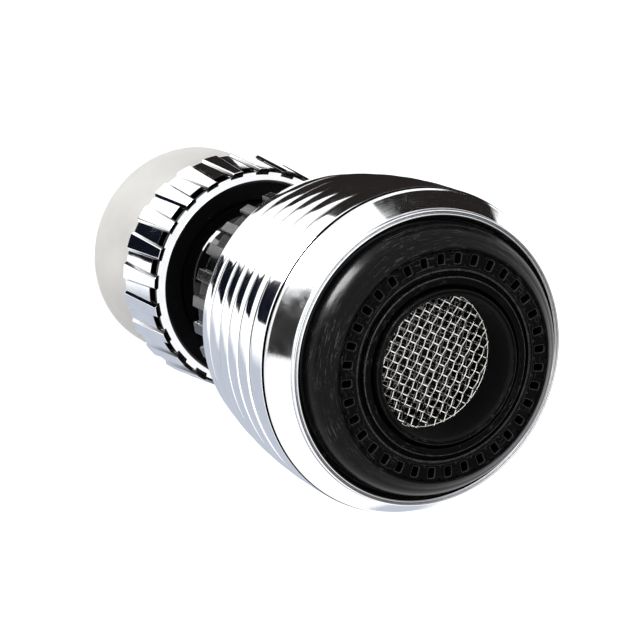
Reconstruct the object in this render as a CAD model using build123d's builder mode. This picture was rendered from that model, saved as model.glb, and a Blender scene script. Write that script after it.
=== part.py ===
from build123d import *
from math import radians, sin, cos, sqrt, pi
import os

# A tap aerator: a two-mode spray head on a ball swivel.
# It stands on its inlet end. Z runs from the inlet up to the spray face, in millimetres.

# Inlet connector, its thread and what lies in it
thread_bore_radius = 10.46
thread_depth = 5.4
thread_lead_in = 0.5
washer_pocket_step = 0.54
washer_pocket_radius = thread_bore_radius + washer_pocket_step
washer_thickness = 1.6
washer_width = 3.6
washer_hole_radius = washer_pocket_radius - washer_width
strainer_grip = 0.8
strainer_radius = washer_hole_radius + strainer_grip
strainer_thickness = 0.7
strainer_hole_radius = 0.55
strainer_rows = 4
web_thickness = 1.4
web_step = 0.4
web_hole_radius = washer_hole_radius - web_step
connector_height = 14.2
connector_edge_round = 1.3
spigot_height = 4.8

# Ball swivel
ball_radius = 11.5
ball_end_angle = 30.0
ball_fit = 0.08
pocket_clearance = 0.3
pocket_radius = ball_radius + pocket_clearance
spigot_wall = 2.2
spigot_radius = pocket_radius + spigot_wall
connector_ledge = 0.9
connector_radius = spigot_radius + connector_ledge
neck_radius = 8.0
neck_wall = 4.3
ball_bore_radius = neck_radius - neck_wall
neck_flange_width = 1.6
neck_flange_radius = neck_radius + neck_flange_width
neck_flange_height = 1.8
seat_seal_height = 1.6
seat_seal_width = 1.8
seat_lip_inset = 3.529
seat_lip_radius = ball_radius - seat_lip_inset
seat_height = 3.4
seat_fit = 0.1
retainer_lip_height = 3.0
retainer_flange_width = 0.3
retainer_flange_radius = spigot_radius + retainer_flange_width
retainer_flange_height = 2.0
retainer_dish = 0.5
retainer_rim = 0.5

# Crown collar
collar_fit = 0.05
collar_wall = 1.0
collar_groove_radius = connector_radius + collar_wall
collar_groove_height = 7.2
collar_taper = 0.48
rib_height = 0.35
rib_wall = 0.5
rib_count = 24
rib_rear_width = 2.7
rib_front_width = 1.95
rib_flank = 0.35
rib_phase = 8.7
rib_overhang = 1.95
rib_length = collar_groove_height + rib_overhang
lip_neck_inset = 1.4
lip_neck_radius = collar_groove_radius - lip_neck_inset
lip_neck_height = 1.0
lip_overhang = 0.55
lip_radius = lip_neck_radius + lip_overhang
lip_height = 1.1
lip_cover = 0.65
lip_bore_radius = retainer_flange_radius - lip_cover

# Toothed ring under the bell
neck_length = 16.4
tooth_ring_height = 11.2
tooth_ring_wall = 6.4
tooth_root_radius = neck_radius + tooth_ring_wall
tooth_height = 0.8
tooth_radius = tooth_root_radius + tooth_height
tooth_clearance = 1.2
rear_recess_radius = tooth_radius + tooth_clearance
tooth_count = 26
tooth_angle = 6.1
tooth_phase = 2.67
tooth_ring_chamfer = 0.5
neck_fit = 0.05

# Bell housing
rim_width = 1.7
bell_rim_radius = rear_recess_radius + rim_width
bell_rim_step = 0.45
bell_shoulder_radius = bell_rim_radius + bell_rim_step
bell_swell = 2.38
bell_mouth_radius = bell_shoulder_radius + bell_swell
bell_rim_round = 0.5
bell_curve_power = 2.2
bell_wall = 2.0
bell_floor = 3.2
rear_recess_depth = 1.0
rim_band_height = 3.3
first_band_height = 7.85
band_pitch = 3.52
band_count = 4
mouth_band_height = 4.09
bell_height = first_band_height + (band_count - 1) * band_pitch + mouth_band_height
band_groove_depth = 0.35
mouth_roll_height = 0.5
mouth_roll_depth = 0.12
boss_wall = 2.6
boss_radius = neck_radius + boss_wall
boss_shoulder_height = 1.7
boss_hole_step = 2.6
boss_hole_radius = neck_radius - boss_hole_step
neck_seal_height = 1.6
neck_seal_width = 2.4
neck_seal_hole_radius = neck_radius - neck_seal_width
plate_ledge_width = 1.4

# Mode ring
mouth_wall = 1.63
sleeve_bore_radius = bell_mouth_radius - mouth_wall
sleeve_fit = 0.06
sleeve_step = 3.2
sleeve_end_gap = 0.3
snap_height = 0.27
snap_width = 1.3
snap_station = 1.5
ring_seal_station = 4.3
ring_seal_width = 1.8
ring_seal_depth = 1.25
seam_gap = 0.3
sleeve_wall = 1.95
ring_bore_radius = sleeve_bore_radius - sleeve_wall
ring_edge_height = 0.5
ring_edge_drop = 0.38
ring_cone_height = 3.25
ring_bead_radius = 0.44
face_gap_depth = 1.0
face_gap_width = 0.6
ring_land = 0.02
ring_cone_radius = ring_bore_radius + face_gap_width + 2 * ring_bead_radius + ring_land

# Spray plate
plate_skirt_wall = 1.7
plate_seat_fit = 0.05
bevel_base_height = 0.85
bevel_height = 2.6
bevel_width = 1.6
bevel_inner_radius = ring_bore_radius - bevel_width
face_rise = 0.8
face_slope_width = 0.95
face_flat_radius = bevel_inner_radius - face_slope_width
face_thickness = 2.2
spray_hole_margin = 1.3
spray_hole_circle = face_flat_radius - spray_hole_margin
spray_hole_width = 0.9
spray_hole_length = 1.3
spray_hole_count = 36
spray_hole_phase = 0.74
groove_margin = 1.5
groove_outer_radius = spray_hole_circle - groove_margin
groove_width = 0.7
groove_inner_radius = groove_outer_radius - groove_width
groove_depth = 0.9
hub_wall = 0.95
hub_rise = 0.35
hub_edge = 0.15
plate_seal_station = 5.5
plate_seal_width = 1.6
plate_seal_depth = 1.0

# Aerator cup and what is in it
cup_fit = 0.05
cup_radius = groove_inner_radius - hub_wall - cup_fit
cup_wall = 1.0
cup_bore_radius = cup_radius - cup_wall
cup_rise = 0.85
cup_rim_step = 0.47
cup_rim_radius = cup_radius - cup_rim_step
cup_rim_height = 2.6
cup_rim_edge = 0.25
screen_shelf_width = 0.45
cup_mouth_radius = cup_bore_radius - screen_shelf_width
cup_seal_height = 1.2
screen_depth = 5.35
screen_thickness = 0.6
screen_fit = 0.05
screen_pitch = 1.5
screen_wire = 0.5
screen_ring_height = 0.8
screen_ring_wall = 0.9
inner_screen_thickness = 0.4
cone_height = 3.4
cone_ring_wall = 0.9
cone_fin_count = 6
cone_fin_thickness = 0.9
flow_disc_thickness = 1.6
jet_radius = 0.6
jet_count = 12
jet_margin = 2.5
jet_circle = cup_bore_radius - jet_margin

# Diverter stack
plate_ledge_step = 0.7
plate_radius = sleeve_bore_radius - plate_ledge_step
plate_ledge_height = 11.4
plate_thickness = 2.0
plate_fit = 0.05
seal_margin = 1.6
seal_radius = plate_radius - seal_margin
seal_thickness = 1.0
selector_thickness = 1.95
selector_hole_radius = 1.85
stream_port_margin = 2.1
stream_port_radius = cup_bore_radius - stream_port_margin
spray_port_radius = (groove_inner_radius + ring_bore_radius - plate_seat_fit - plate_skirt_wall) / 2
port_count = 3
port_width = 4.2
port_margin = 0.25
port_inner_radius = stream_port_radius - selector_hole_radius - port_margin
port_outer_radius = spray_port_radius + selector_hole_radius + port_margin
mode_travel_deg = 60.0

# Heights worked out from the sizes above
washer_base = thread_depth
web_base = washer_base + washer_thickness
web_top = web_base + web_thickness
connector_top = connector_height + spigot_height
seat_base = web_top + seat_seal_height
socket_radius = ball_radius + ball_fit
ball_centre = seat_base + sqrt(socket_radius**2 - seat_lip_radius**2)
rib_taper = collar_taper * rib_length / collar_groove_height
collar_front = connector_height + collar_groove_height
lip_base = collar_front + lip_neck_height
lip_top = lip_base + lip_height
retainer_top = connector_top + retainer_lip_height
tooth_ring_base = ball_centre + neck_length
recess_top = tooth_ring_base + tooth_ring_height
bell_base = recess_top - rear_recess_depth
bell_top = bell_base + bell_height
cavity_base = bell_base + bell_floor
neck_top = bell_base + bell_floor - 0.3
shoulder_base = neck_top + neck_seal_height
plate_base = bell_base + plate_ledge_height
seal_base = plate_base + plate_thickness
selector_base = seal_base + seal_thickness
selector_top = selector_base + selector_thickness
sleeve_step_height = plate_base + sleeve_step
sleeve_base = sleeve_step_height + sleeve_end_gap
ring_base = bell_top + seam_gap
ring_front = ring_base + ring_edge_height + ring_cone_height
bevel_base = ring_front + bevel_base_height
bevel_top = bevel_base + bevel_height
face_top = bevel_top + face_rise
cup_base = selector_top + cup_seal_height
cup_top = face_top + cup_rise
hub_bore_radius = cup_radius + cup_fit
screen_top = cup_top - screen_depth
screen_base = screen_top - screen_thickness
screen_ring_base = screen_base - screen_ring_height
inner_screen_base = screen_ring_base - inner_screen_thickness
cone_base = inner_screen_base - cone_height
flow_disc_base = cone_base - flow_disc_thickness


def ball_height(radius, reach):
    """Height above the ball's centre at which a sphere of this radius has this reach from the axis."""
    return sqrt(radius**2 - reach**2)


def bell_radius(height):
    """Outer radius of the bell under its bands, from the rim's shoulder to the mouth."""
    start = bell_base + bell_rim_round
    share = (bell_top - height) / (bell_top - start)
    return bell_mouth_radius - (bell_mouth_radius - bell_shoulder_radius) * share**bell_curve_power


# Inlet connector: threaded ring below, ball pocket above
with BuildPart() as inlet_connector:
    with BuildSketch(Plane.XZ):
        with BuildLine():
            Polyline(
                (thread_bore_radius + thread_lead_in, 0),
                (connector_radius, 0),
                (connector_radius, connector_height),
                (spigot_radius, connector_height),
                (spigot_radius, connector_top),
                (pocket_radius, connector_top),
                (pocket_radius, web_top),
                (web_hole_radius, web_top),
                (web_hole_radius, web_base),
                (washer_pocket_radius, web_base),
                (washer_pocket_radius, washer_base),
                (thread_bore_radius, washer_base),
                (thread_bore_radius, thread_lead_in),
                close=True,
            )
        make_face()
    revolve(axis=Axis.Z)
    rear_edge = inlet_connector.edges().filter_by(GeomType.CIRCLE).group_by(Axis.Z)[0].sort_by(SortBy.RADIUS)[-1]
    fillet(rear_edge, connector_edge_round)

# Rubber washer, slotted inside to hold the strainer
strainer_base = washer_base + (washer_thickness - strainer_thickness) / 2 - 0.1
with BuildPart() as inlet_washer:
    with BuildSketch(Plane.XY.offset(washer_base)):
        Circle(washer_pocket_radius - 0.1)
        Circle(washer_hole_radius, mode=Mode.SUBTRACT)
    extrude(amount=washer_thickness)
    with BuildSketch(Plane.XY.offset(strainer_base)):
        Circle(strainer_radius)
    extrude(amount=strainer_thickness, mode=Mode.SUBTRACT)

# Strainer: a flat perforated disc
with BuildPart() as inlet_strainer:
    with BuildSketch(Plane.XY.offset(strainer_base)):
        Circle(strainer_radius)
        Circle(strainer_hole_radius, mode=Mode.SUBTRACT)
        for row in range(1, strainer_rows + 1):
            row_radius = row * (washer_hole_radius - 2 * strainer_hole_radius) / strainer_rows
            with PolarLocations(row_radius, 6 * row):
                Circle(strainer_hole_radius, mode=Mode.SUBTRACT)
    extrude(amount=strainer_thickness)

# Seal under the ball's seat
with BuildPart() as seat_o_ring:
    with BuildSketch(Plane.XY.offset(web_top)):
        Circle(pocket_radius - seat_fit)
        Circle(pocket_radius - seat_fit - seat_seal_width, mode=Mode.SUBTRACT)
    extrude(amount=seat_seal_height)
    fillet(seat_o_ring.edges(), seat_seal_height * 0.3)

# Seat ring with a spherical face
with BuildPart() as ball_seat:
    with BuildSketch(Plane.XY.offset(seat_base)):
        Circle(pocket_radius - seat_fit)
    extrude(amount=seat_height)
    with Locations((0, 0, ball_centre)):
        Sphere(socket_radius, mode=Mode.SUBTRACT)

# Hollow ball, its neck and the flange under the toothed ring
with BuildPart() as swivel_ball:
    with BuildSketch(Plane.XZ):
        end_radius = ball_radius * sin(radians(ball_end_angle))
        end_height = ball_centre - ball_radius * cos(radians(ball_end_angle))
        neck_start = ball_centre + ball_height(ball_radius, neck_radius)
        with BuildLine():
            Polyline((ball_bore_radius, neck_top), (ball_bore_radius, end_height), (end_radius, end_height))
            ThreePointArc((end_radius, end_height), (ball_radius, ball_centre), (neck_radius, neck_start))
            Polyline(
                (neck_radius, neck_start),
                (neck_radius, tooth_ring_base - neck_flange_height),
                (neck_flange_radius, tooth_ring_base - neck_flange_height),
                (neck_flange_radius, tooth_ring_base),
                (neck_radius, tooth_ring_base),
                (neck_radius, neck_top),
                (ball_bore_radius, neck_top),
            )
        make_face()
    revolve(axis=Axis.Z)

# Black retainer: holds the ball down, with a shallow bowl in front
retainer_reach = ball_height(socket_radius, retainer_top - ball_centre) - retainer_rim
with BuildPart() as ball_retainer:
    with BuildSketch(Plane.XZ):
        with BuildLine():
            Polyline(
                (retainer_reach, connector_top),
                (retainer_flange_radius, connector_top),
                (retainer_flange_radius, connector_top + retainer_flange_height),
                (lip_bore_radius - collar_fit, connector_top + retainer_flange_height),
                (lip_bore_radius - collar_fit, retainer_top + retainer_dish),
                (lip_bore_radius - retainer_rim, retainer_top + retainer_dish),
                (retainer_reach, retainer_top),
                close=True,
            )
        make_face()
    revolve(axis=Axis.Z)
    with Locations((0, 0, ball_centre)):
        Sphere(socket_radius, mode=Mode.SUBTRACT)

# One rib of the collar: wider at the rear, with sloping flanks, and a free wall at its front end
rib_front_reach = collar_groove_radius + rib_height - rib_taper
with BuildPart() as collar_rib:
    for height, width, outer in (
        (connector_height, rib_rear_width, collar_groove_radius + rib_height),
        (connector_height + rib_length, rib_front_width, rib_front_reach),
    ):
        with BuildSketch(Plane.XY.offset(height)):
            with BuildLine():
                Polyline(
                    (lip_neck_radius - collar_fit, -width / 2),
                    (outer - rib_height, -width / 2),
                    (outer, rib_flank - width / 2),
                    (outer, width / 2 - rib_flank),
                    (outer - rib_height, width / 2),
                    (lip_neck_radius - collar_fit, width / 2),
                    close=True,
                )
            make_face()
    loft(ruled=True)
    with BuildSketch(Plane.XY.offset(collar_front - 0.2)):
        Circle(rib_front_reach - rib_wall)
    extrude(amount=rib_length, mode=Mode.SUBTRACT)

# Crown collar: grooved skirt, ribs and the lip ring
with BuildPart() as swivel_collar:
    with BuildSketch(Plane.XZ):
        with BuildLine():
            Polyline(
                (spigot_radius + collar_fit, connector_height),
                (collar_groove_radius, connector_height),
                (collar_groove_radius - collar_taper, collar_front),
                (lip_neck_radius, collar_front),
                (lip_neck_radius, lip_base),
                (lip_radius, lip_base),
                (lip_radius, lip_base + lip_height * 0.3),
                (lip_radius - 0.5, lip_top - 0.05),
                (lip_radius - 0.8, lip_top),
                (lip_bore_radius, lip_top - 0.35),
                (lip_bore_radius, connector_top + retainer_flange_height + collar_fit),
                (retainer_flange_radius + collar_fit, connector_top + retainer_flange_height + collar_fit),
                (retainer_flange_radius + collar_fit, connector_top),
                (spigot_radius + collar_fit, connector_top),
                close=True,
            )
        make_face()
    revolve(axis=Axis.Z)
    with PolarLocations(0, rib_count, start_angle=rib_phase):
        add(collar_rib.part)

# Toothed ring screwed up against the bell
with BuildPart() as knurled_ring:
    with BuildSketch(Plane.XY.offset(tooth_ring_base)):
        Circle(tooth_root_radius)
        Circle(neck_radius + neck_fit, mode=Mode.SUBTRACT)
    extrude(amount=tooth_ring_height)
    root_edge = knurled_ring.edges().group_by(Axis.Z)[0].sort_by(SortBy.RADIUS)[-1]
    chamfer(root_edge, tooth_ring_chamfer)
    tooth_width = 2 * tooth_radius * sin(radians(tooth_angle / 2))
    tooth_depth = tooth_height + 0.6
    with BuildSketch(Plane.XY.offset(tooth_ring_base)):
        with PolarLocations(tooth_radius - tooth_depth / 2, tooth_count, start_angle=tooth_phase):
            Rectangle(tooth_depth, tooth_width)
    extrude(amount=tooth_ring_height)

# Seal on top of the ball's neck
with BuildPart() as neck_o_ring:
    with BuildSketch(Plane.XY.offset(neck_top)):
        Circle(neck_radius - neck_fit)
        Circle(neck_seal_hole_radius, mode=Mode.SUBTRACT)
    extrude(amount=neck_seal_height)
    fillet(neck_o_ring.edges(), neck_seal_height * 0.3)

# Bell housing: banded shell with a boss for the neck
band_grooves = [bell_base + first_band_height + band_pitch * i for i in range(band_count)]
band_edges = [bell_base + rim_band_height] + band_grooves
cavity_top_radius = plate_radius - plate_ledge_width
with BuildPart() as bell_housing:
    with BuildSketch(Plane.XZ):
        with BuildLine():
            rim_end = (bell_shoulder_radius, bell_base + bell_rim_round)
            Polyline(
                (neck_radius + neck_fit, recess_top),
                (rear_recess_radius, recess_top),
                (rear_recess_radius, bell_base + 0.2),
                (rear_recess_radius + 0.2, bell_base),
                (bell_rim_radius, bell_base),
            )
            ThreePointArc(
                (bell_rim_radius, bell_base),
                (
                    bell_rim_radius + 0.7 * bell_rim_step,
                    bell_base + 0.3 * bell_rim_round,
                ),
                rim_end,
            )
            low = rim_end
            for edge_height in band_edges:
                high = (bell_radius(edge_height) - band_groove_depth, edge_height)
                middle_height = (low[1] + high[1]) / 2
                ThreePointArc(low, (bell_radius(middle_height) + 0.05, middle_height), high)
                low = high
            mouth_edge = (bell_mouth_radius, bell_top - mouth_roll_height)
            crest_height = (low[1] + mouth_edge[1]) / 2
            crest = (bell_radius(crest_height), crest_height)
            ThreePointArc(low, (crest[0] - 0.27 * band_groove_depth, (low[1] + crest[1]) / 2), crest)
            Polyline(
                crest,
                mouth_edge,
                (bell_mouth_radius - 0.3 * mouth_roll_depth, bell_top - 0.4 * mouth_roll_height),
                (bell_mouth_radius - mouth_roll_depth, bell_top),
                (sleeve_bore_radius, bell_top),
                (sleeve_bore_radius, sleeve_base + snap_station + snap_width),
                (sleeve_bore_radius + snap_height + 0.05, sleeve_base + snap_station + 0.8 * snap_width),
                (sleeve_bore_radius + snap_height + 0.05, sleeve_base + snap_station + 0.2 * snap_width),
                (sleeve_bore_radius, sleeve_base + snap_station - 0.2),
                (sleeve_bore_radius, sleeve_step_height),
                (plate_radius, sleeve_step_height),
                (plate_radius, plate_base),
                (cavity_top_radius, plate_base),
                (bell_radius(cavity_base) - bell_wall - band_groove_depth, cavity_base),
                (boss_radius, cavity_base),
                (boss_radius, shoulder_base + boss_shoulder_height),
                (boss_hole_radius, shoulder_base + boss_shoulder_height),
                (boss_hole_radius, shoulder_base),
                (neck_radius + neck_fit, shoulder_base),
                (neck_radius + neck_fit, recess_top),
            )
        make_face()
    revolve(axis=Axis.Z)

# Fixed plate with three radial ports
with BuildPart() as diverter_plate:
    with BuildSketch(Plane.XY.offset(plate_base)):
        Circle(plate_radius - plate_fit)
        with PolarLocations((port_inner_radius + port_outer_radius) / 2, port_count):
            SlotOverall(port_outer_radius - port_inner_radius, port_width, mode=Mode.SUBTRACT)
    extrude(amount=plate_thickness)

# Rubber disc on the fixed plate, with the same ports
with BuildPart() as diverter_seal:
    with BuildSketch(Plane.XY.offset(seal_base)):
        Circle(seal_radius)
        with PolarLocations((port_inner_radius + port_outer_radius) / 2, port_count):
            SlotOverall(port_outer_radius - port_inner_radius, port_width, mode=Mode.SUBTRACT)
    extrude(amount=seal_thickness)

# Turning disc: stream ports under the slots at rest, spray ports one mode's travel away
with BuildPart() as selector_disc:
    with BuildSketch(Plane.XY.offset(selector_base)):
        Circle(ring_bore_radius - plate_fit)
        with PolarLocations(stream_port_radius, port_count):
            Circle(selector_hole_radius, mode=Mode.SUBTRACT)
        with PolarLocations(spray_port_radius, port_count, start_angle=-mode_travel_deg):
            Circle(selector_hole_radius, mode=Mode.SUBTRACT)
    extrude(amount=selector_thickness)

# Mode ring: sleeve in the bell, smooth band outside and a bead round the face
sleeve_radius = sleeve_bore_radius - sleeve_fit
ring_seal_base = sleeve_base + ring_seal_station - ring_seal_width / 2
bead_centre = (ring_bore_radius + face_gap_width + ring_bead_radius, ring_front)
with BuildPart() as mode_ring:
    with BuildSketch(Plane.XZ):
        with BuildLine():
            Polyline(
                (ring_bore_radius, sleeve_base),
                (sleeve_radius, sleeve_base),
                (sleeve_radius, sleeve_base + snap_station),
                (sleeve_radius + snap_height, sleeve_base + snap_station + 0.3 * snap_width),
                (sleeve_radius + snap_height, sleeve_base + snap_station + 0.6 * snap_width),
                (sleeve_radius, sleeve_base + snap_station + 0.9 * snap_width),
                (sleeve_radius, ring_seal_base),
                (sleeve_radius - ring_seal_depth, ring_seal_base),
                (sleeve_radius - ring_seal_depth, ring_seal_base + ring_seal_width),
                (sleeve_radius, ring_seal_base + ring_seal_width),
                (sleeve_radius, ring_base),
                (bell_mouth_radius - 0.6 * ring_edge_drop, ring_base),
                (bell_mouth_radius - 0.35 * ring_edge_drop, ring_base + 0.25 * ring_edge_height),
                (bell_mouth_radius - ring_edge_drop, ring_base + ring_edge_height),
                (ring_cone_radius, ring_front - 0.3),
                (ring_bore_radius + face_gap_width + 2 * ring_bead_radius, ring_front - 0.3),
                (ring_bore_radius + face_gap_width + 2 * ring_bead_radius, ring_front),
            )
            CenterArc(bead_centre, ring_bead_radius, 0, 180)
            Polyline(
                (ring_bore_radius + face_gap_width, ring_front),
                (ring_bore_radius + face_gap_width, ring_front - face_gap_depth),
                (ring_bore_radius, ring_front - face_gap_depth),
                (ring_bore_radius, sleeve_base),
            )
        make_face()
    revolve(axis=Axis.Z)

# Seal between the sleeve and the bell
with BuildPart() as housing_o_ring:
    with BuildSketch(Plane.XY.offset(ring_seal_base)):
        Circle(sleeve_radius)
        Circle(sleeve_radius - ring_seal_depth, mode=Mode.SUBTRACT)
    extrude(amount=ring_seal_width)
    fillet(housing_o_ring.edges(), ring_seal_depth * 0.35)

# Spray plate: skirt, bevelled face with its ring of square holes, and the threaded hub
skirt_radius = ring_bore_radius - plate_seat_fit
plate_seal_base = selector_top + plate_seal_station
with BuildPart() as spray_plate:
    with BuildSketch(Plane.XZ):
        with BuildLine():
            Polyline((skirt_radius - plate_skirt_wall, selector_top), (skirt_radius, selector_top))
            Polyline(
                (skirt_radius, selector_top),
                (skirt_radius, plate_seal_base),
                (skirt_radius - plate_seal_depth, plate_seal_base),
                (skirt_radius - plate_seal_depth, plate_seal_base + plate_seal_width),
                (skirt_radius, plate_seal_base + plate_seal_width),
                (skirt_radius, bevel_base),
            )
            ThreePointArc(
                (skirt_radius, bevel_base),
                (
                    (skirt_radius + bevel_inner_radius) / 2 + 0.25,
                    (bevel_base + bevel_top) / 2 + 0.15,
                ),
                (bevel_inner_radius, bevel_top),
            )
            Polyline(
                (bevel_inner_radius, bevel_top),
                (face_flat_radius, face_top),
                (groove_outer_radius, face_top),
                (groove_outer_radius, face_top - groove_depth),
                (groove_inner_radius, face_top - groove_depth),
                (groove_inner_radius, face_top + hub_rise - hub_edge),
                (groove_inner_radius - hub_edge, face_top + hub_rise),
                (hub_bore_radius + hub_edge, face_top + hub_rise),
                (hub_bore_radius, face_top + hub_rise - hub_edge),
                (hub_bore_radius, selector_top),
                (groove_inner_radius, selector_top),
                (groove_inner_radius, face_top - face_thickness),
                (skirt_radius - plate_skirt_wall, face_top - face_thickness),
                (skirt_radius - plate_skirt_wall, selector_top),
            )
        make_face()
    revolve(axis=Axis.Z)
    with BuildSketch(Plane.XY.offset(face_top)):
        with PolarLocations(spray_hole_circle, spray_hole_count, start_angle=spray_hole_phase):
            RectangleRounded(spray_hole_length, spray_hole_width, spray_hole_width / 5)
    extrude(amount=-face_thickness - 0.5, mode=Mode.SUBTRACT)

# Seal between the spray plate and the mode ring
with BuildPart() as plate_o_ring:
    with BuildSketch(Plane.XY.offset(plate_seal_base)):
        Circle(skirt_radius)
        Circle(skirt_radius - plate_seal_depth, mode=Mode.SUBTRACT)
    extrude(amount=plate_seal_width)
    fillet(plate_o_ring.edges(), plate_seal_depth * 0.35)

# Seal between the aerator cup and the selector disc
with BuildPart() as cup_o_ring:
    with BuildSketch(Plane.XY.offset(selector_top)):
        Circle(cup_radius)
        Circle(cup_bore_radius, mode=Mode.SUBTRACT)
    extrude(amount=cup_seal_height)

# Aerator cup, screwed into the hub
with BuildPart() as aerator_cup:
    with BuildSketch(Plane.XZ):
        with BuildLine():
            Polyline(
                (cup_bore_radius, cup_base),
                (cup_radius, cup_base),
                (cup_radius, cup_top - cup_rim_height),
                (cup_rim_radius, cup_top - cup_rim_height),
                (cup_rim_radius, cup_top - cup_rim_edge),
                (cup_rim_radius - cup_rim_edge, cup_top),
                (cup_mouth_radius + cup_rim_edge, cup_top),
                (cup_mouth_radius, cup_top - cup_rim_edge),
                (cup_mouth_radius, screen_top),
                (cup_bore_radius, screen_top),
                close=True,
            )
        make_face()
    revolve(axis=Axis.Z)

# Woven outlet screen: crossed wires in a rim
screen_radius = cup_bore_radius - screen_fit
with BuildPart() as outlet_screen:
    with BuildSketch(Plane.XY.offset(screen_base)):
        Circle(screen_radius)
    extrude(amount=screen_thickness)
    cell = screen_pitch - screen_wire
    reach = screen_radius - screen_ring_wall
    steps = int(reach / screen_pitch) + 1
    with BuildSketch(Plane.XY.offset(screen_base)):
        for i in range(-steps, steps + 1):
            for j in range(-steps, steps + 1):
                corner = sqrt((abs(i) * screen_pitch + cell / 2) ** 2 + (abs(j) * screen_pitch + cell / 2) ** 2)
                if corner < reach:
                    with Locations((i * screen_pitch, j * screen_pitch)):
                        Rectangle(cell, cell)
    extrude(amount=screen_thickness, mode=Mode.SUBTRACT)
    with BuildSketch(Plane.XY.offset(screen_top - screen_thickness / 3)):
        Circle(reach)
        for i in range(-steps, steps + 1):
            with Locations(((i + 0.5) * screen_pitch, 0)):
                Rectangle(screen_wire, 2 * reach, mode=Mode.SUBTRACT)
    extrude(amount=screen_thickness / 3, mode=Mode.SUBTRACT)

# Ring that keeps the two screens apart
with BuildPart() as screen_ring:
    with BuildSketch(Plane.XY.offset(screen_ring_base)):
        Circle(screen_radius)
        Circle(screen_radius - screen_ring_wall, mode=Mode.SUBTRACT)
    extrude(amount=screen_ring_height)

# Inner screen
with BuildPart() as inner_screen:
    with BuildSketch(Plane.XY.offset(inner_screen_base)):
        Circle(screen_radius)
        steps = int(reach / (2 * screen_pitch)) + 1
        for i in range(-steps, steps + 1):
            for j in range(-steps, steps + 1):
                corner = 2 * sqrt((abs(i) * screen_pitch + cell / 2) ** 2 + (abs(j) * screen_pitch + cell / 2) ** 2)
                if corner < reach:
                    with Locations((2 * i * screen_pitch, 2 * j * screen_pitch)):
                        Rectangle(2 * cell, 2 * cell)
    extrude(amount=inner_screen_thickness)

# Mixer: a ring with fins round a cone that breaks the jets
with BuildPart() as mixer_cone:
    with BuildSketch(Plane.XY.offset(cone_base)):
        Circle(screen_radius)
        Circle(screen_radius - cone_ring_wall, mode=Mode.SUBTRACT)
    extrude(amount=cone_height)
    with BuildSketch(Plane.XY.offset(cone_base + cone_height / 2)):
        with PolarLocations(screen_radius / 2 - 0.2, cone_fin_count):
            Rectangle(screen_radius - 0.6, cone_fin_thickness)
    extrude(amount=cone_height / 2)
    with Locations((0, 0, cone_base + cone_height * 0.6)):
        Cone(screen_radius * 0.3, screen_radius * 0.55, cone_height * 0.8)

# Jet disc at the cup's inlet
with BuildPart() as flow_disc:
    with BuildSketch(Plane.XY.offset(flow_disc_base)):
        Circle(screen_radius)
        with PolarLocations(jet_circle, jet_count):
            Circle(jet_radius, mode=Mode.SUBTRACT)
    extrude(amount=flow_disc_thickness)

pieces = {
    "inlet_connector": inlet_connector,
    "inlet_washer": inlet_washer,
    "inlet_strainer": inlet_strainer,
    "seat_o_ring": seat_o_ring,
    "ball_seat": ball_seat,
    "swivel_ball": swivel_ball,
    "ball_retainer": ball_retainer,
    "swivel_collar": swivel_collar,
    "knurled_ring": knurled_ring,
    "neck_o_ring": neck_o_ring,
    "bell_housing": bell_housing,
    "diverter_plate": diverter_plate,
    "diverter_seal": diverter_seal,
    "selector_disc": selector_disc,
    "mode_ring": mode_ring,
    "housing_o_ring": housing_o_ring,
    "spray_plate": spray_plate,
    "plate_o_ring": plate_o_ring,
    "cup_o_ring": cup_o_ring,
    "aerator_cup": aerator_cup,
    "outlet_screen": outlet_screen,
    "screen_ring": screen_ring,
    "inner_screen": inner_screen,
    "mixer_cone": mixer_cone,
    "flow_disc": flow_disc,
}

os.makedirs("parts", exist_ok=True)
for name, piece in pieces.items():
    piece.part.label = name
    export_step(piece.part, f"parts/{name}.step")
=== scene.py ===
"""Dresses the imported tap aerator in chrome, black and ivory plastic and woven steel wire.

Every surface is a function of two parameters worked out on a numpy grid, in
millimetres, and goes into its mesh in metres in the frame of the solids.
"""
from __future__ import annotations

import logging
import math
from dataclasses import dataclass, field
from enum import Enum

import bpy
import numpy as np
from mathutils import Matrix

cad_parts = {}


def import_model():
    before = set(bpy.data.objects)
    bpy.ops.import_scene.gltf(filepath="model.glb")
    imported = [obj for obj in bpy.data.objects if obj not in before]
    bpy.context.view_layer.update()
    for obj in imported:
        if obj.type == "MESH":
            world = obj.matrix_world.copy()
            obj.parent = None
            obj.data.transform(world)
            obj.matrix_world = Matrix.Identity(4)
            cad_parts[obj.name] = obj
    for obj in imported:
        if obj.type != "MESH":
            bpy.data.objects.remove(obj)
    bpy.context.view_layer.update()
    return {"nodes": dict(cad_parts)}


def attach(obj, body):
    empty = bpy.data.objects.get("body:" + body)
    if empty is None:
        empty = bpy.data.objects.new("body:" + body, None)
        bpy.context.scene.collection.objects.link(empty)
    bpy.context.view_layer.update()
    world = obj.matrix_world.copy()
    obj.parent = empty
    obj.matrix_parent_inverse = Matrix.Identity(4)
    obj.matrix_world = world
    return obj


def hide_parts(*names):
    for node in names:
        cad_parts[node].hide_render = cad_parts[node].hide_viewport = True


LOG = logging.getLogger("tap_aerator")
MM = 0.001
Corner = tuple[float, float, float]
Colour = tuple[float, float, float]
Vector = tuple[float, float, float]
Material = bpy.types.Material
Node = bpy.types.Node
Socket = bpy.types.NodeSocket


class Body(Enum):
    """The moving bodies of the aerator."""

    INLET = "inlet"
    SWIVEL = "swivel"
    HEAD = "head"
    FACE = "face"


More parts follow.
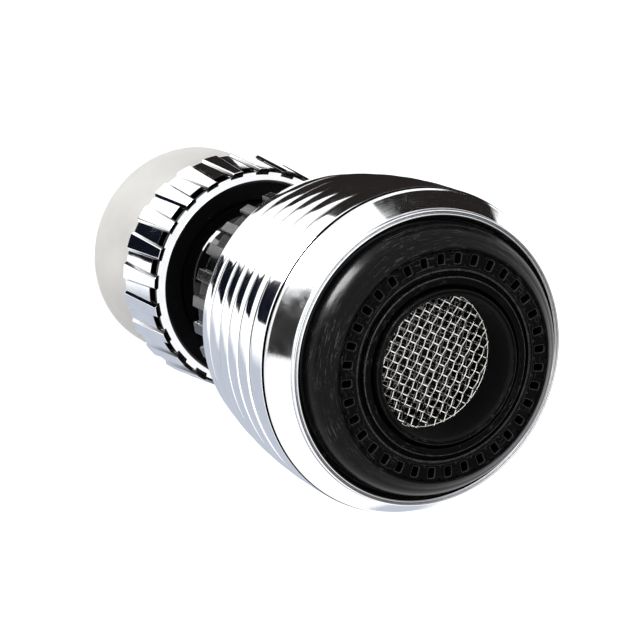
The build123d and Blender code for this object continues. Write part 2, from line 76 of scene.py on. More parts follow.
def rounded_loop(corners: list[Corner], steps: int = 5, flat: float = 0.03) -> np.ndarray:
    """Closed outline in the (r, z) plane with its corners rounded.

    Each corner with cut k becomes a bow between the points that lie k before and
    after it on the outline. A further point lies just outside each of the two, so
    that the flats stay flat under smooth shading.

    Args:
        corners: (r, z, cut) in millimetres, in order round the outline.
        steps: Pieces in each rounded corner.
        flat: Distance of the further point from the curve's end.

    Returns:
        Array of shape (points, 2).
    """
    c = np.array(corners, float)
    xy, cut = c[:, :2], c[:, 2]
    before, after = np.roll(xy, 1, 0) - xy, np.roll(xy, -1, 0) - xy
    len_b = np.linalg.norm(before, axis=1)
    len_a = np.linalg.norm(after, axis=1)
    t = np.linspace(0, 1, steps + 1)
    out: list[np.ndarray] = []
    for p, k, ub, ua, lb, la in zip(xy, cut, before / len_b[:, None], after / len_a[:, None], len_b, len_a):
        if k <= 0:
            out.append(p[None])
            continue
        k = min(k, 0.48 * lb, 0.48 * la)
        lead_in = p + ub * min(k + flat, 0.5 * lb)
        lead_out = p + ua * min(k + flat, 0.5 * la)
        out.append(np.vstack([lead_in, bow(p + ub * k, p, p + ua * k, t), lead_out]))
    return np.vstack(out)


def bow(a: object, c: object, b: object, t: np.ndarray) -> np.ndarray:
    """Curve (1-t)^2 a + 2t(1-t) c + t^2 b, from a to b and drawn towards c.

    Args:
        a: First point, (r, z).
        c: Point that the curve is drawn towards.
        b: Last point.
        t: Places on the curve, from 0 to 1.

    Returns:
        Array of shape (len(t), 2).
    """
    t = t[:, None]
    return (1 - t) ** 2 * np.array(a) + 2 * t * (1 - t) * np.array(c) + t**2 * np.array(b)


def even_angles(count: int) -> np.ndarray:
    """Angles round the axis, evenly spaced, without the last one."""
    return np.arange(count) * 2 * np.pi / count


def turned(loop: np.ndarray, angles: np.ndarray) -> np.ndarray:
    """Outline carried round the axis: P(s, a) = (r(s) cos a, r(s) sin a, z(s))."""
    r, z = loop[:, 0][:, None], loop[:, 1][:, None]
    return np.stack([r * np.cos(angles), r * np.sin(angles), z + 0 * angles], -1)


def step_up(x: np.ndarray, low: float, high: float) -> np.ndarray:
    """Smooth step 3t^2 - 2t^3 with t = (x - low) / (high - low), held within 0 and 1."""
    t = np.clip((x - low) / (high - low), 0, 1)
    return t * t * (3 - 2 * t)


def pulse(angles: np.ndarray, count: int, phase: float, width: float, edge: float) -> np.ndarray:
    """Repeating raised span round the axis, 1 on the span and 0 between spans.

    With d the distance in degrees from the nearest centre, the value is
    1 - step_up(d, width / 2 - edge / 2, width / 2 + edge / 2).

    Args:
        angles: Angles round the axis in radians.
        count: Spans in a full turn.
        phase: Centre of one span in degrees.
        width: Width of a span in degrees.
        edge: Width of each flank in degrees.

    Returns:
        Array of the same shape as angles.
    """
    pitch = 360 / count
    d = np.abs((np.degrees(angles) - phase + pitch / 2) % pitch - pitch / 2)
    return 1 - step_up(d, width / 2 - edge / 2, width / 2 + edge / 2)


def pulse_angles(count: int, phase: float, width: float, edge: float) -> np.ndarray:
    """Angles that follow the flanks of a repeating span closely and its flats loosely.

    Args:
        count: Spans in a full turn.
        phase: Centre of one span in degrees.
        width: Width of a span in degrees.
        edge: Width of each flank in degrees.

    Returns:
        Sorted angles in radians, as many in each repeat.
    """
    pitch = 360 / count
    half = width / 2
    flank = np.concatenate([np.linspace(-0.5, 0.5, 6), [-0.75, 0.75]]) * edge
    gap = pitch / 2 - half
    flats = np.array([-half * 0.5, 0.0, half * 0.5])
    outer = half + gap * np.array([0.33, 0.66])
    local = np.unique(np.round(np.concatenate([-half + flank, half + flank, flats, -outer, outer]), 5))
    return np.radians(np.sort((local[None] + phase + pitch * np.arange(count)[:, None]).ravel()))


@dataclass
class Grids:
    """Vertices and quads gathered from numpy grids, and the mesh made of them."""

    points: list[np.ndarray] = field(default_factory=list)
    quads: list[np.ndarray] = field(default_factory=list)
    count: int = 0

    def add(self, grid: np.ndarray, close_u: bool = False, close_v: bool = False, flip: bool = False) -> None:
        """Adds a grid of points and the quads between them.

        Args:
            grid: Points of shape (u, v, 3) in millimetres.
            close_u: Joins the last row to the first.
            close_v: Joins the last column to the first.
            flip: Turns the faces round.
        """
        n, m = grid.shape[:2]
        i, j = np.arange(n if close_u else n - 1)[:, None], np.arange(m if close_v else m - 1)[None]
        i2, j2 = (i + 1) % n, (j + 1) % m
        q = np.stack([i * m + j + 0 * i2, i2 * m + j, i2 * m + j2, i * m + j2], -1).reshape(-1, 4)
        self.quads.append((q[:, ::-1] if flip else q) + self.count)
        self.points.append(grid.reshape(-1, 3))
        self.count += n * m

    def shell(self, grid: np.ndarray) -> None:
        """Adds a closed outline carried round the axis, with its faces outwards.

        The signed area of the first section, half the sum of r z' - r' z,
        says which way round the outline runs.
        """
        r, z = np.hypot(grid[:, 0, 0], grid[:, 0, 1]), grid[:, 0, 2]
        area = np.sum(r * np.roll(z, -1) - np.roll(r, -1) * z)
        self.add(grid, True, True, flip=bool(area > 0))

    def build(self, name: str, weld: bool = False) -> bpy.types.Object:
        """Makes the mesh object.

        Args:
            name: Name of the piece.
            weld: Merges the grids where their edges meet.

        Returns:
            The new object at the origin.
        """
        pts, quads = np.vstack(self.points), np.vstack(self.quads)
        if weld:
            key = np.round(pts / 1e-4).astype(np.int64)
            _, first, inverse = np.unique(key, axis=0, return_index=True, return_inverse=True)
            pts, quads = pts[first], inverse.reshape(-1)[quads]
            quads = quads[(quads != np.roll(quads, -1, 1)).sum(1) >= 3]
        mesh = bpy.data.meshes.new(name)
        faces = [tuple(dict.fromkeys(q)) for q in quads.tolist()] if weld else quads
        mesh.from_pydata(pts * MM, [], faces)
        mesh.polygons.foreach_set("use_smooth", np.ones(len(mesh.polygons), bool))
        mesh.update()
        obj = bpy.data.objects.new(name, mesh)
        bpy.context.scene.collection.objects.link(obj)
        return obj


def dress(obj: bpy.types.Object, material: Material, body: Body, slot: str, *nodes: str) -> None:
    """Gives a piece its finish and its body, and lets it stand for its solids.

    Args:
        obj: The new piece.
        material: Its finish.
        body: The body that it rides on.
        slot: Not used.
        nodes: The solids that it replaces.
    """
    obj.data.materials.append(material)
    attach(obj, body.value)
    if nodes:
        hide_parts(*nodes)
    LOG.info("%s: %d faces on %s", obj.name, len(obj.data.polygons), body.value)


def paint(obj: bpy.types.Object, name: str, values: np.ndarray) -> None:
    """Stores one number for each vertex as a named attribute."""
    layer = obj.data.attributes.new(name, "FLOAT", "POINT")
    layer.data.foreach_set("value", values.astype(np.float32).ravel())


def lathe(name: str, loop: np.ndarray, count: int, recess: np.ndarray | None = None) -> bpy.types.Object:
    """Makes a piece by carrying a closed outline round the axis.

    Args:
        name: Name of the piece.
        loop: The closed outline.
        count: Columns in a full turn.
        recess: The recess attribute's value at each point of the outline.

    Returns:
        The new object.
    """
    shell = Grids()
    shell.shell(turned(loop, even_angles(count)))
    obj = shell.build(name)
    if recess is not None:
        paint(obj, "recess", np.repeat(recess[:, None], count, 1))
    return obj


class Nodes:
    """Short calls for building a node tree."""

    def __init__(self, tree: bpy.types.NodeTree) -> None:
        """Keeps the tree that the calls build in."""
        self.tree = tree

    def new(self, kind: str, inputs: dict[str, object] | None = None, **props: object) -> Node:
        """Adds a node.

        Args:
            kind: Blender's name of the node type.
            inputs: Values or sockets for its inputs, by name or by number.
            props: Values for its properties.

        Returns:
            The new node.
        """
        node = self.tree.nodes.new(kind)
        for key, value in props.items():
            setattr(node, key, value)
        for key, value in (inputs or {}).items():
            socket = node.inputs[key]
            if isinstance(value, Socket):
                self.tree.links.new(value, socket)
            else:
                socket.default_value = value
        return node

    def link(self, value: Socket, node: Node, name: str) -> None:
        """Joins a socket to a node's named input."""
        self.tree.links.new(value, node.inputs[name])

    def math(self, operation: str, *values: object) -> Socket:
        """Adds a Math node and returns its output."""
        return self.new("ShaderNodeMath", dict(enumerate(values)), operation=operation).outputs[0]

    def mul(self, a: object, b: object) -> Socket:
        """Multiplies two values."""
        return self.math("MULTIPLY", a, b)

    def add(self, a: object, b: object) -> Socket:
        """Adds two values."""
        return self.math("ADD", a, b)

    def attribute(self, name: str) -> Socket:
        """Reads a painted attribute."""
        return self.new("ShaderNodeAttribute", attribute_name=name).outputs["Fac"]

    def place(self) -> Socket:
        """Reads the shading point's Object coordinates."""
        return self.new("ShaderNodeTexCoord").outputs["Object"]

    def remap(self, value: object, low: float, high: float, to_low: float = 0.0, to_high: float = 1.0) -> Socket:
        """Adds a clamped Map Range node and returns its output."""
        ins = {"Value": value, "From Min": low, "From Max": high, "To Min": to_low, "To Max": to_high}
        return self.new("ShaderNodeMapRange", ins).outputs[0]

    def mix(self, factor: object, a: object, b: object) -> Socket:
        """Adds a colour Mix node and returns its output."""
        node = self.new("ShaderNodeMix", {0: factor, 6: a, 7: b}, data_type="RGBA")
        return node.outputs[2]

    def noise(self, vector: object, scale: float, detail: float = 2.0, rough: float = 0.5) -> Socket:
        """Adds a Noise Texture and returns its value."""
        ins = {"Vector": vector, "Scale": scale, "Detail": detail, "Roughness": rough}
        return self.new("ShaderNodeTexNoise", ins).outputs["Fac"]


def new_material(name: str) -> tuple[Material, Nodes]:
    """Makes an empty material and its node builder."""
    mat = bpy.data.materials.new(name)
    mat.use_nodes = True
    return mat, Nodes(mat.node_tree)


class Effects:
    """The shader groups that more than one finish uses."""

    def __init__(self) -> None:
        """Builds each group once."""
        self.rings = self._turning_marks()
        self.grain = self._moulded_grain()
        self.scuffs = self._scuffs()

    @staticmethod
    def _start(name: str, floats: dict[str, float], *outputs: str) -> tuple[Nodes, Node, Node]:
        """Makes an empty group with named number sockets.

        Args:
            name: Name of the group.
            floats: Its inputs with their defaults.
            outputs: Names of its outputs.

        Returns:
            The node builder, the group's input node and its output node.
        """
        tree = bpy.data.node_groups.new(name, "ShaderNodeTree")
        for key, value in floats.items():
            sock = tree.interface.new_socket(key, in_out="INPUT", socket_type="NodeSocketFloat")
            sock.default_value = value
        for key in outputs:
            tree.interface.new_socket(key, in_out="OUTPUT", socket_type="NodeSocketFloat")
        n = Nodes(tree)
        return n, tree.nodes.new("NodeGroupInput"), tree.nodes.new("NodeGroupOutput")

    @staticmethod
    def _round_coords(n: Nodes, density: object, streak: object, mirror: bool) -> Socket:
        """The shading point as (density r, streak angle / pi, density z), r being its distance from the axis.

        Args:
            n: The group's node builder.
            density: Scale across the rings, a number or a socket.
            streak: Scale along the rings, a number or a socket.
            mirror: Takes the angle without its sign, so that no seam shows.

        Returns:
            The scaled vector.
        """
        xyz = n.new("ShaderNodeSeparateXYZ", {0: n.place()}).outputs
        radius = n.math("SQRT", n.add(n.mul(xyz[0], xyz[0]), n.mul(xyz[1], xyz[1])))
        angle = n.math("DIVIDE", n.math("ARCTAN2", xyz[1], xyz[0]), math.pi)
        along = n.math("ABSOLUTE", angle) if mirror else angle
        parts = (n.mul(radius, density), n.mul(along, streak), n.mul(xyz[2], density))
        return n.new("ShaderNodeCombineXYZ", dict(enumerate(parts))).outputs[0]

    def _turning_marks(self) -> bpy.types.NodeTree:
        """Fine rings round the axis, as a lathe leaves them."""
        n, gin, gout = self._start("Turning marks", {"Density": 1500.0, "Streak": 3.0}, "Value")
        vec = self._round_coords(n, gin.outputs["Density"], gin.outputs["Streak"], True)
        n.link(n.noise(vec, 1.0, 4.0, 0.6), gout, "Value")
        return n.tree

    def _moulded_grain(self) -> bpy.types.NodeTree:
        """Fine pebbling of a moulded surface: two sizes of noise added."""
        n, gin, gout = self._start("Moulded grain", {"Size": 4000.0}, "Value")
        obj = n.place()
        vec = n.new("ShaderNodeVectorMath", {0: obj, "Scale": gin.outputs["Size"]}, operation="SCALE").outputs[0]
        both = n.add(n.mul(n.noise(vec, 1.0, 3.0), 0.7), n.mul(n.noise(vec, 0.22, 1.0), 0.3))
        n.link(both, gout, "Value")
        return n.tree

    def _scuffs(self) -> bpy.types.NodeTree:
        """Scratches that run round the axis in patches, and dusty specks.

        Scratches are the narrow top of a noise stretched along the angle,
        times a wide noise that chooses the patches. Specks are the top of a fine noise.
        """
        n, gin, gout = self._start("Scuffs", {"Amount": 0.5}, "Scratches", "Specks")
        vec = self._round_coords(n, 5200.0, 26.0, False)
        lines = n.remap(n.noise(vec, 1.0, 3.0, 0.7), 0.56, 0.66)
        obj = n.place()
        patch = n.remap(n.noise(obj, 130.0, 2.0), 0.45, 0.62)
        n.link(n.mul(n.mul(lines, patch), gin.outputs["Amount"]), gout, "Scratches")
        n.link(n.remap(n.noise(obj, 2600.0, 2.0, 0.8), 0.7, 0.78), gout, "Specks")
        return n.tree


@dataclass(frozen=True)
class Finish:
    """A finish by its plain values, made into a material by its own recipe."""

    name: str
    colour: Colour
    roughness: float
    metallic: float = 0.0

    def make(self, fx: Effects) -> Material:
        """Builds the material: one Principled BSDF with the finish's own nodes before it."""
        mat, n = new_material(self.name)
        mat.diffuse_color = self.shade()
        bsdf = mat.node_tree.nodes["Principled BSDF"]
        for key, value in (("Base Color", self.shade()), ("Roughness", self.roughness), ("Metallic", self.metallic)):
            bsdf.inputs[key].default_value = value
        self.fill(n, bsdf, fx)
        return mat

    def fill(self, n: Nodes, bsdf: Node, fx: Effects) -> None:
        """Adds the finish's own nodes.

        Args:
            n: The material's node builder.
            bsdf: The shader node.
            fx: The shared shader groups.
        """
        raise NotImplementedError

    def shade(self, share: float = 1.0) -> tuple[float, float, float, float]:
        """The finish's colour at a share of its brightness, with alpha."""
        return (*(c * share for c in self.colour), 1)

    @staticmethod
    def bump(n: Nodes, bsdf: Node, height: Socket, strength: float, distance: float) -> None:
        """Feeds a height through a Bump node to the shader's normal."""
        node = n.new("ShaderNodeBump", {"Height": height, "Strength": strength, "Distance": distance})
        n.link(node.outputs["Normal"], bsdf, "Normal")

    def pebble(
        self, n: Nodes, bsdf: Node, fx: Effects, size: float, strength: float,
        distance: float = 0.00005, spread: float = 0.15,
    ) -> Socket:
        """Gives the shader a fine grain in its roughness and its relief.

        Args:
            n: The material's node builder.
            bsdf: The shader node.
            fx: The shared shader groups.
            size: Fineness of the grain.
            strength: Strength of the relief.
            distance: Height of the relief in metres.
            spread: Share by which the roughness goes up and down.

        Returns:
            The grain's value.
        """
        grain = n.new("ShaderNodeGroup", {"Size": size}, node_tree=fx.grain).outputs["Value"]
        rough = n.remap(grain, 0.3, 0.7, self.roughness * (1 - spread), self.roughness * (1 + spread))
        n.link(rough, bsdf, "Roughness")
        self.bump(n, bsdf, grain, strength, distance)
        return grain


@dataclass(frozen=True)
class Chrome(Finish):
    """Bright plate over turned metal, slightly wavy, with faint turning marks and painted shade in its recesses."""

    metallic: float = 1.0
    wave: float = 0.1
    marks: float = 0.06
    # Near black colour of the painted shade in recesses.
    recess_shade: Colour = (0.02, 0.018, 0.016)

    def fill(self, n: Nodes, bsdf: Node, fx: Effects) -> None:
        """Adds mist, waviness and turning marks, and the painted shade where the recess attribute is set."""
        obj = n.place()
        ring = n.new("ShaderNodeGroup", {"Density": 2400.0, "Streak": 5.0}, node_tree=fx.rings).outputs["Value"]
        mist = n.noise(obj, 420.0, 4.0, 0.6)
        rough = n.remap(mist, 0.35, 0.7, self.roughness * 0.6, self.roughness * 1.7)
        n.link(rough, bsdf, "Roughness")
        tint = n.mix(n.remap(mist, 0.4, 0.75), self.shade(), self.shade(0.93))
        # Painted shade: where the recess attribute is set, the base colour turns near black.
        n.link(n.mix(n.attribute("recess"), tint, (*self.recess_shade, 1)), bsdf, "Base Color")
        slow = n.noise(obj, 260.0, 2.0, 0.5)
        height = n.add(n.mul(slow, self.wave), n.mul(ring, self.marks))
        self.bump(n, bsdf, height, 0.35, 0.0002)


@dataclass(frozen=True)
class BlackPlastic(Finish):
    """Moulded black plastic, scuffed round the axis and dusted.

    The edge attribute paints pale edges as a highlight, the recess attribute keeps a place clean and dull.
    """

    scuff: float = 0.5
    specular: float = 0.5
    relief: float = 0.3
    # Pale colour of the scuffs and specks, and of the painted edge highlights.
    dust_and_highlight: Colour = (0.32, 0.32, 0.33)

    def fill(self, n: Nodes, bsdf: Node, fx: Effects) -> None:
        """Adds grain, scuffs and specks, and the painted highlight of the edge attribute."""
        bsdf.inputs["Specular IOR Level"].default_value = self.specular
        scuffs = n.new("ShaderNodeGroup", {"Amount": self.scuff}, node_tree=fx.scuffs)
        grain = n.new("ShaderNodeGroup", {"Size": 5200.0}, node_tree=fx.grain).outputs["Value"]
        deep = n.attribute("recess")
        rim = n.attribute("edge")
        lines = n.mul(scuffs.outputs["Scratches"], 0.35)
        specks = n.mul(scuffs.outputs["Specks"], 0.5)
        open_wear = n.mul(n.math("MAXIMUM", lines, specks), n.math("SUBTRACT", 1.0, deep))
        # Painted highlight: the edge attribute lifts rims and edges towards the pale colour.
        edge_highlight = n.mul(rim, n.remap(grain, 0.35, 0.6, 0.05, 0.5))
        wear_and_highlight = n.math("MAXIMUM", open_wear, edge_highlight)
        n.link(n.mix(wear_and_highlight, self.shade(), (*self.dust_and_highlight, 1)), bsdf, "Base Color")
        grained = n.remap(grain, 0.35, 0.65, self.roughness * 0.8, self.roughness * 1.25)
        rough = n.add(grained, n.mul(wear_and_highlight, 0.2))
        rough = n.add(rough, n.mul(deep, 0.5))
        n.link(rough, bsdf, "Roughness")
        height = n.add(n.mul(grain, 0.5), n.mul(scuffs.outputs["Scratches"], 0.6))
        self.bump(n, bsdf, height, self.relief, 0.00006)


@dataclass(frozen=True)
class CharcoalMetal(Finish):
    """Dark satin metal, pale on rubbed edges that also carry a painted highlight where the edge attribute is set, and
    black where the recess attribute paints shade between the teeth.
    """

    metallic: float = 1.0
    # Pale colour of rubbed edges and of the painted edge highlight.
    wear_and_highlight: Colour = (0.42, 0.42, 0.43)
    # Near black colour of the painted shade where the recess attribute is set.
    root: Colour = (0.004, 0.004, 0.004)

    def fill(self, n: Nodes, bsdf: Node, fx: Effects) -> None:
        """Adds the grain, the pale edges with their painted highlight, and the painted shade."""
        grain = self.pebble(n, bsdf, fx, 3200.0, 0.3, spread=0.25)
        # The edge attribute's pale tone is partly rubbed metal and partly a painted highlight; the recess attribute's
        # black is painted shade.
        rubbed_edge_and_highlight = n.mul(n.attribute("edge"), n.remap(grain, 0.35, 0.55, 0.3, 1.0))
        tint = n.mix(rubbed_edge_and_highlight, self.shade(), (*self.wear_and_highlight, 1))
        n.link(n.mix(n.attribute("recess"), tint, (*self.root, 1)), bsdf, "Base Color")


@dataclass(frozen=True)
class IvoryPlastic(Finish):
    """Ivory plastic that lets a little light in."""

    def fill(self, n: Nodes, bsdf: Node, fx: Effects) -> None:
        """Adds the light within, the grain and a faint cloud."""
        bsdf.inputs["Subsurface Weight"].default_value = 0.25
        bsdf.inputs["Subsurface Radius"].default_value = (0.0016, 0.0013, 0.001)
        bsdf.inputs["Subsurface Scale"].default_value = 1.0
        self.pebble(n, bsdf, fx, 2600.0, 0.2)
        cloud = n.noise(n.place(), 160.0, 3.0)
        n.link(n.mix(n.remap(cloud, 0.35, 0.65), self.shade(), self.shade(0.93)), bsdf, "Base Color")


@dataclass(frozen=True)
class DrawnWire(Finish):
    """Bright drawn stainless wire."""

    metallic: float = 1.0

    def fill(self, n: Nodes, bsdf: Node, fx: Effects) -> None:
        """Adds a very fine grain."""
        self.pebble(n, bsdf, fx, 6000.0, 0.25, distance=0.00003, spread=0.3)


@dataclass(frozen=True)
class SoftMoulding(Finish):
    """Rubber or acetal of the inner pieces: even colour with a fine grain."""

    def fill(self, n: Nodes, bsdf: Node, fx: Effects) -> None:
        """Adds the grain."""
        grain = self.pebble(n, bsdf, fx, 3000.0, 0.25)
        n.link(n.mix(n.remap(grain, 0.35, 0.65), self.shade(), self.shade(0.85)), bsdf, "Base Color")


class Coat(Enum):
    """The finishes of the aerator."""

    CHROME = Chrome("chrome_plate_recessed", (0.93, 0.94, 0.96), 0.08)
    GLOSS_BLACK = BlackPlastic("gloss_black", (0.005, 0.005, 0.0055), 0.22, specular=0.1)
    BALL_BLACK = BlackPlastic("gloss_black_ball", (0.002, 0.002, 0.002), 0.03, scuff=0.0, specular=0.25, relief=0.03)
    MATTE_BLACK = BlackPlastic("matte_black", (0.003, 0.003, 0.003), 0.45, scuff=0.1, specular=0.2)
    CHARCOAL = CharcoalMetal("charcoal_satin", (0.09, 0.09, 0.092), 0.25)
    IVORY = IvoryPlastic("ivory_plastic", (0.8, 0.785, 0.755), 0.42)
    WIRE = DrawnWire("stainless_wire", (0.95, 0.94, 0.91), 0.2)
    DULL_WIRE = DrawnWire("dull_wire", (0.3, 0.29, 0.28), 0.35)
    RUBBER = SoftMoulding("rubber_black", (0.02, 0.02, 0.02), 0.6)
    ACETAL = SoftMoulding("white_acetal", (0.8, 0.8, 0.78), 0.45)


Palette = dict[Coat, Material]


@dataclass
class InletConnector:
    """Ivory ring with the female thread below and the ball's pocket above."""

    palette: Palette
    outer: float = 14.9
    height: float = 14.2
    spigot: float = 14.0
    top: float = 19.0
    pocket: float = 11.8
    bore: float = 10.46
    thread_top: float = 5.4
    thread_depth: float = 0.5
    pitch: float = 1.0
    web_low: float = 7.0
    web_high: float = 8.4
    web_hole: float = 7.0
    washer: float = 11.0

    def build(self) -> None:
        """Builds the connector with its thread.

        The bore's radius is bore + depth * fade(z) * (1 - |2 frac(z / pitch - a / 2 pi) - 1|),
        a groove that winds once round for each pitch, faded in and out at both ends.
        """
        angles = even_angles(216)
        above = rounded_loop([
            (self.bore + 0.5, 0, 0.12), (self.outer, 0, 1.3), (self.outer, self.height, 0.15),
            (self.spigot, self.height, 0), (self.spigot, self.top, 0.2), (self.pocket, self.top, 0.2),
            (self.pocket, self.web_high, 0.2), (self.web_hole, self.web_high, 0.2), (self.web_hole, self.web_low, 0.2),
            (self.washer, self.web_low, 0.05), (self.washer, self.thread_top, 0.05), (self.bore, self.thread_top, 0.05),
        ], steps=7)
        z = np.linspace(self.thread_top - 0.15, 0.55, 52)
        loop = np.vstack([above, np.stack([np.full_like(z, self.bore), z], 1)])
        grid = turned(loop, angles)
        rows = slice(len(above), len(loop))
        fade = step_up(z, 0.5, 1.0) * (1 - step_up(z, self.thread_top - 0.7, self.thread_top - 0.2))
        turn = (z[:, None] - self.pitch * angles[None] / (2 * np.pi)) / self.pitch
        r = self.bore + self.thread_depth * fade[:, None] * (1 - np.abs(2 * (turn % 1) - 1))
        grid[rows, :, 0], grid[rows, :, 1] = r * np.cos(angles), r * np.sin(angles)
        shell = Grids()
        shell.shell(grid)
        dress(shell.build("inlet_ring_skin"), self.palette[Coat.IVORY], Body.INLET, "ivory_plastic", "inlet_connector")


@dataclass
class CrownCollar:
    """Chrome collar with raised, tapering ribs, a castellated front and a lip ring."""

    palette: Palette
    rear: float = 14.2
    groove: float = 15.9
    rib: float = 0.35
    taper: float = 0.48
    groove_top: float = 21.4
    rib_top: float = 23.35
    rib_wall: float = 0.5
    neck: float = 14.5
    lip_low: float = 22.4
    lip: float = 15.05
    lip_edge: float = 22.8
    lip_top: float = 23.5
    gap_wall: float = 15.5
    bore: float = 13.65
    flange: float = 14.35
    spigot: float = 14.05
    flange_low: float = 19.0
    flange_top: float = 21.05
    count: int = 24
    phase: float = 8.7
    rear_width: float = 9.7
    front_width: float = 7.1
    flank: float = 1.3

    def outline(self, rise: float, tip: bool) -> np.ndarray:
        """Closed outline through a groove, a rib's foot or its crest, with as many points in each.

        Args:
            rise: Height above the groove's radius.
            tip: True where the front edge stands up to the rib's tip.

        Returns:
            Array of shape (points, 2).
        """
        front = self.rib_top if tip else self.groove_top
        slope = self.taper / (self.groove_top - self.rear)
        at_front = self.groove + rise - slope * (front - self.rear)
        crest = self.groove + self.rib - slope * (self.rib_top - self.rear)
        inner = crest - self.rib_wall if tip else self.neck + 0.12
        step = self.groove_top - 0.2 if tip else self.groove_top - 0.03
        return rounded_loop([
            (self.spigot, self.rear, 0.05), (self.groove + rise, self.rear, 0.2), (at_front, front, 0.09),
            (inner, front, 0.08), (inner, step, 0.02), (self.neck, step - 0.05, 0.02),
            (self.neck, self.lip_low, 0.05), (self.lip, self.lip_low, 0.06), (self.lip, self.lip_edge, 0.06),
            (self.lip - 1.0, self.lip_top, 0.1), (self.lip - 1.15, self.lip_top, 0.04),
            (self.bore, self.lip_top - 0.25, 0.08), (self.bore, self.flange_top, 0.03),
            (self.flange, self.flange_top, 0.03), (self.flange, self.flange_low, 0.03),
            (self.spigot, self.flange_low, 0.03),
        ])

    def columns(self, half: np.ndarray) -> tuple[np.ndarray, np.ndarray, np.ndarray]:
        """Angles that follow the ribs' tapering sides, with each column's place on the rib.

        With h the rib's half width at a row, a column lies at c h', h + o or h + g (pitch / 2 - h),
        and the rise over the flank is the ramp (h - d) / flank, held within 0 and 1.

        Args:
            half: Half width of the ribs in degrees for each row.

        Returns:
            Angles in radians (rows, columns), crest share and foot share of each column.
        """
        pitch = 360 / self.count
        half = half[:, None]
        core = np.array([0.0, 0.45, 0.9]) * (half - self.flank)
        steps = np.array([-self.flank - 0.12, -self.flank, -self.flank + 0.15, -0.65, -0.2, -0.04, 0.02, 0.16])
        gap = np.array([0.35, 0.7, 1.0]) * (pitch / 2 - half - 0.16) + half + 0.16
        right = np.hstack([core, half + steps, gap])
        crest = np.concatenate([np.ones(3), np.clip(-steps / self.flank, 0, 1), np.zeros(3)])
        foot = np.concatenate([np.ones(9), np.zeros(5)])
        local = np.hstack([-right[:, :0:-1], right])[:, 1:]
        crest, foot = (np.concatenate([x[:0:-1], x])[1:] for x in (crest, foot))
        centres = self.phase + pitch * np.arange(self.count)
        angles = (centres[None, :, None] + local[:, None, :]).reshape(len(half), -1)
        return np.radians(angles), np.tile(crest, self.count), np.tile(foot, self.count)

    def build(self) -> None:
        """Builds the collar.

        With c and f a column's crest and foot shares, its outline is
        (1 - f) groove(s) + (f - c) foot(s) + c crest(s).
        """
        groove, foot, crest = self.outline(0.0, False), self.outline(0.0, True), self.outline(self.rib, True)
        share = np.clip((crest[:, 1] - self.rear) / (self.rib_top - self.rear), 0, 1)
        half = (self.rear_width + (self.front_width - self.rear_width) * share) / 2
        angles, c, f = self.columns(half)
        c, f = c[None, :, None], f[None, :, None]
        rz = (1 - f) * groove[:, None] + (f - c) * foot[:, None] + c * crest[:, None]
        grid = np.stack([rz[..., 0] * np.cos(angles), rz[..., 0] * np.sin(angles), rz[..., 1]], -1)
        shell = Grids()
        shell.shell(grid)
        obj = shell.build("crown_collar_skin")
        # Painted shade: the recess attribute turns the neck, the notches and the inner walls behind the castellated
        # front near black, all but the top of the lip ring.
        low = step_up(rz[..., 1], self.groove_top - 0.12, self.groove_top - 0.02)
        inside = 1 - step_up(rz[..., 0], self.gap_wall, self.gap_wall + 0.1)
        lip = (rz[..., 1] > self.lip_edge + 0.02) & (rz[..., 0] < self.lip + 0.01)
        paint(obj, "recess", low * inside * (1 - lip))
        dress(obj, self.palette[Coat.CHROME], Body.INLET, "chrome_plate", "swivel_collar")


@dataclass
class BallSwivel:
    """Black retainer with its bowl, and the hollow ball with its neck."""

    palette: Palette
    ball: float = 11.5
    centre: float = 18.4
    bore: float = 3.7
    end_angle: float = 30.0
    neck: float = 8.0
    flange: float = 9.6
    flange_low: float = 33.0
    flange_top: float = 34.8
    neck_top: float = 47.9
    socket: float = 11.58
    retainer_low: float = 19.0
    retainer_top: float = 22.0
    collar: float = 14.3
    collar_top: float = 21.0
    bowl: float = 13.6
    bowl_top: float = 22.5

    def build(self) -> None:
        """Builds the ball, (R sin t, centre - R cos t) over t, and the retainer round it."""
        t = np.radians(np.linspace(self.end_angle + 1.2, 180 - np.degrees(np.arcsin(self.neck / self.ball)), 56))
        ball = np.stack([self.ball * np.sin(t), self.centre - self.ball * np.cos(t)], 1)
        low = self.centre - self.ball * math.cos(math.radians(self.end_angle))
        rest = rounded_loop([
            (self.neck, self.flange_low, 0.2), (self.flange, self.flange_low, 0.25),
            (self.flange, self.flange_top, 0.05), (self.neck, self.flange_top, 0), (self.neck, self.neck_top, 0.15),
            (self.bore, self.neck_top, 0.3), (self.bore, low, 0.4),
            (self.ball * math.sin(math.radians(self.end_angle)), low, 0.15),
        ])
        obj = lathe("ball_and_neck_skin", np.vstack([ball, rest]), 192)
        dress(obj, self.palette[Coat.BALL_BLACK], Body.HEAD, "gloss_black", "swivel_ball")
        heights = (self.retainer_top + 0.09, self.retainer_low)
        a = np.linspace(*(math.asin((h - self.centre) / self.socket) for h in heights), 10)
        cup = np.stack([self.socket * np.cos(a), self.centre + self.socket * np.sin(a)], 1)
        bowl = rounded_loop([
            (self.collar, self.retainer_low, 0.05), (self.collar, self.collar_top, 0.05),
            (self.bowl, self.collar_top, 0.03), (self.bowl, self.bowl_top, 0.1),
            (self.bowl - 0.45, self.bowl_top, 0.15), (self.bowl - 2.5, self.retainer_top + 0.11, 0.06),
        ])
        obj = lathe("retainer_bowl_skin", np.vstack([bowl, cup]), 192)
        dress(obj, self.palette[Coat.MATTE_BLACK], Body.INLET, "matte_black", "ball_retainer")


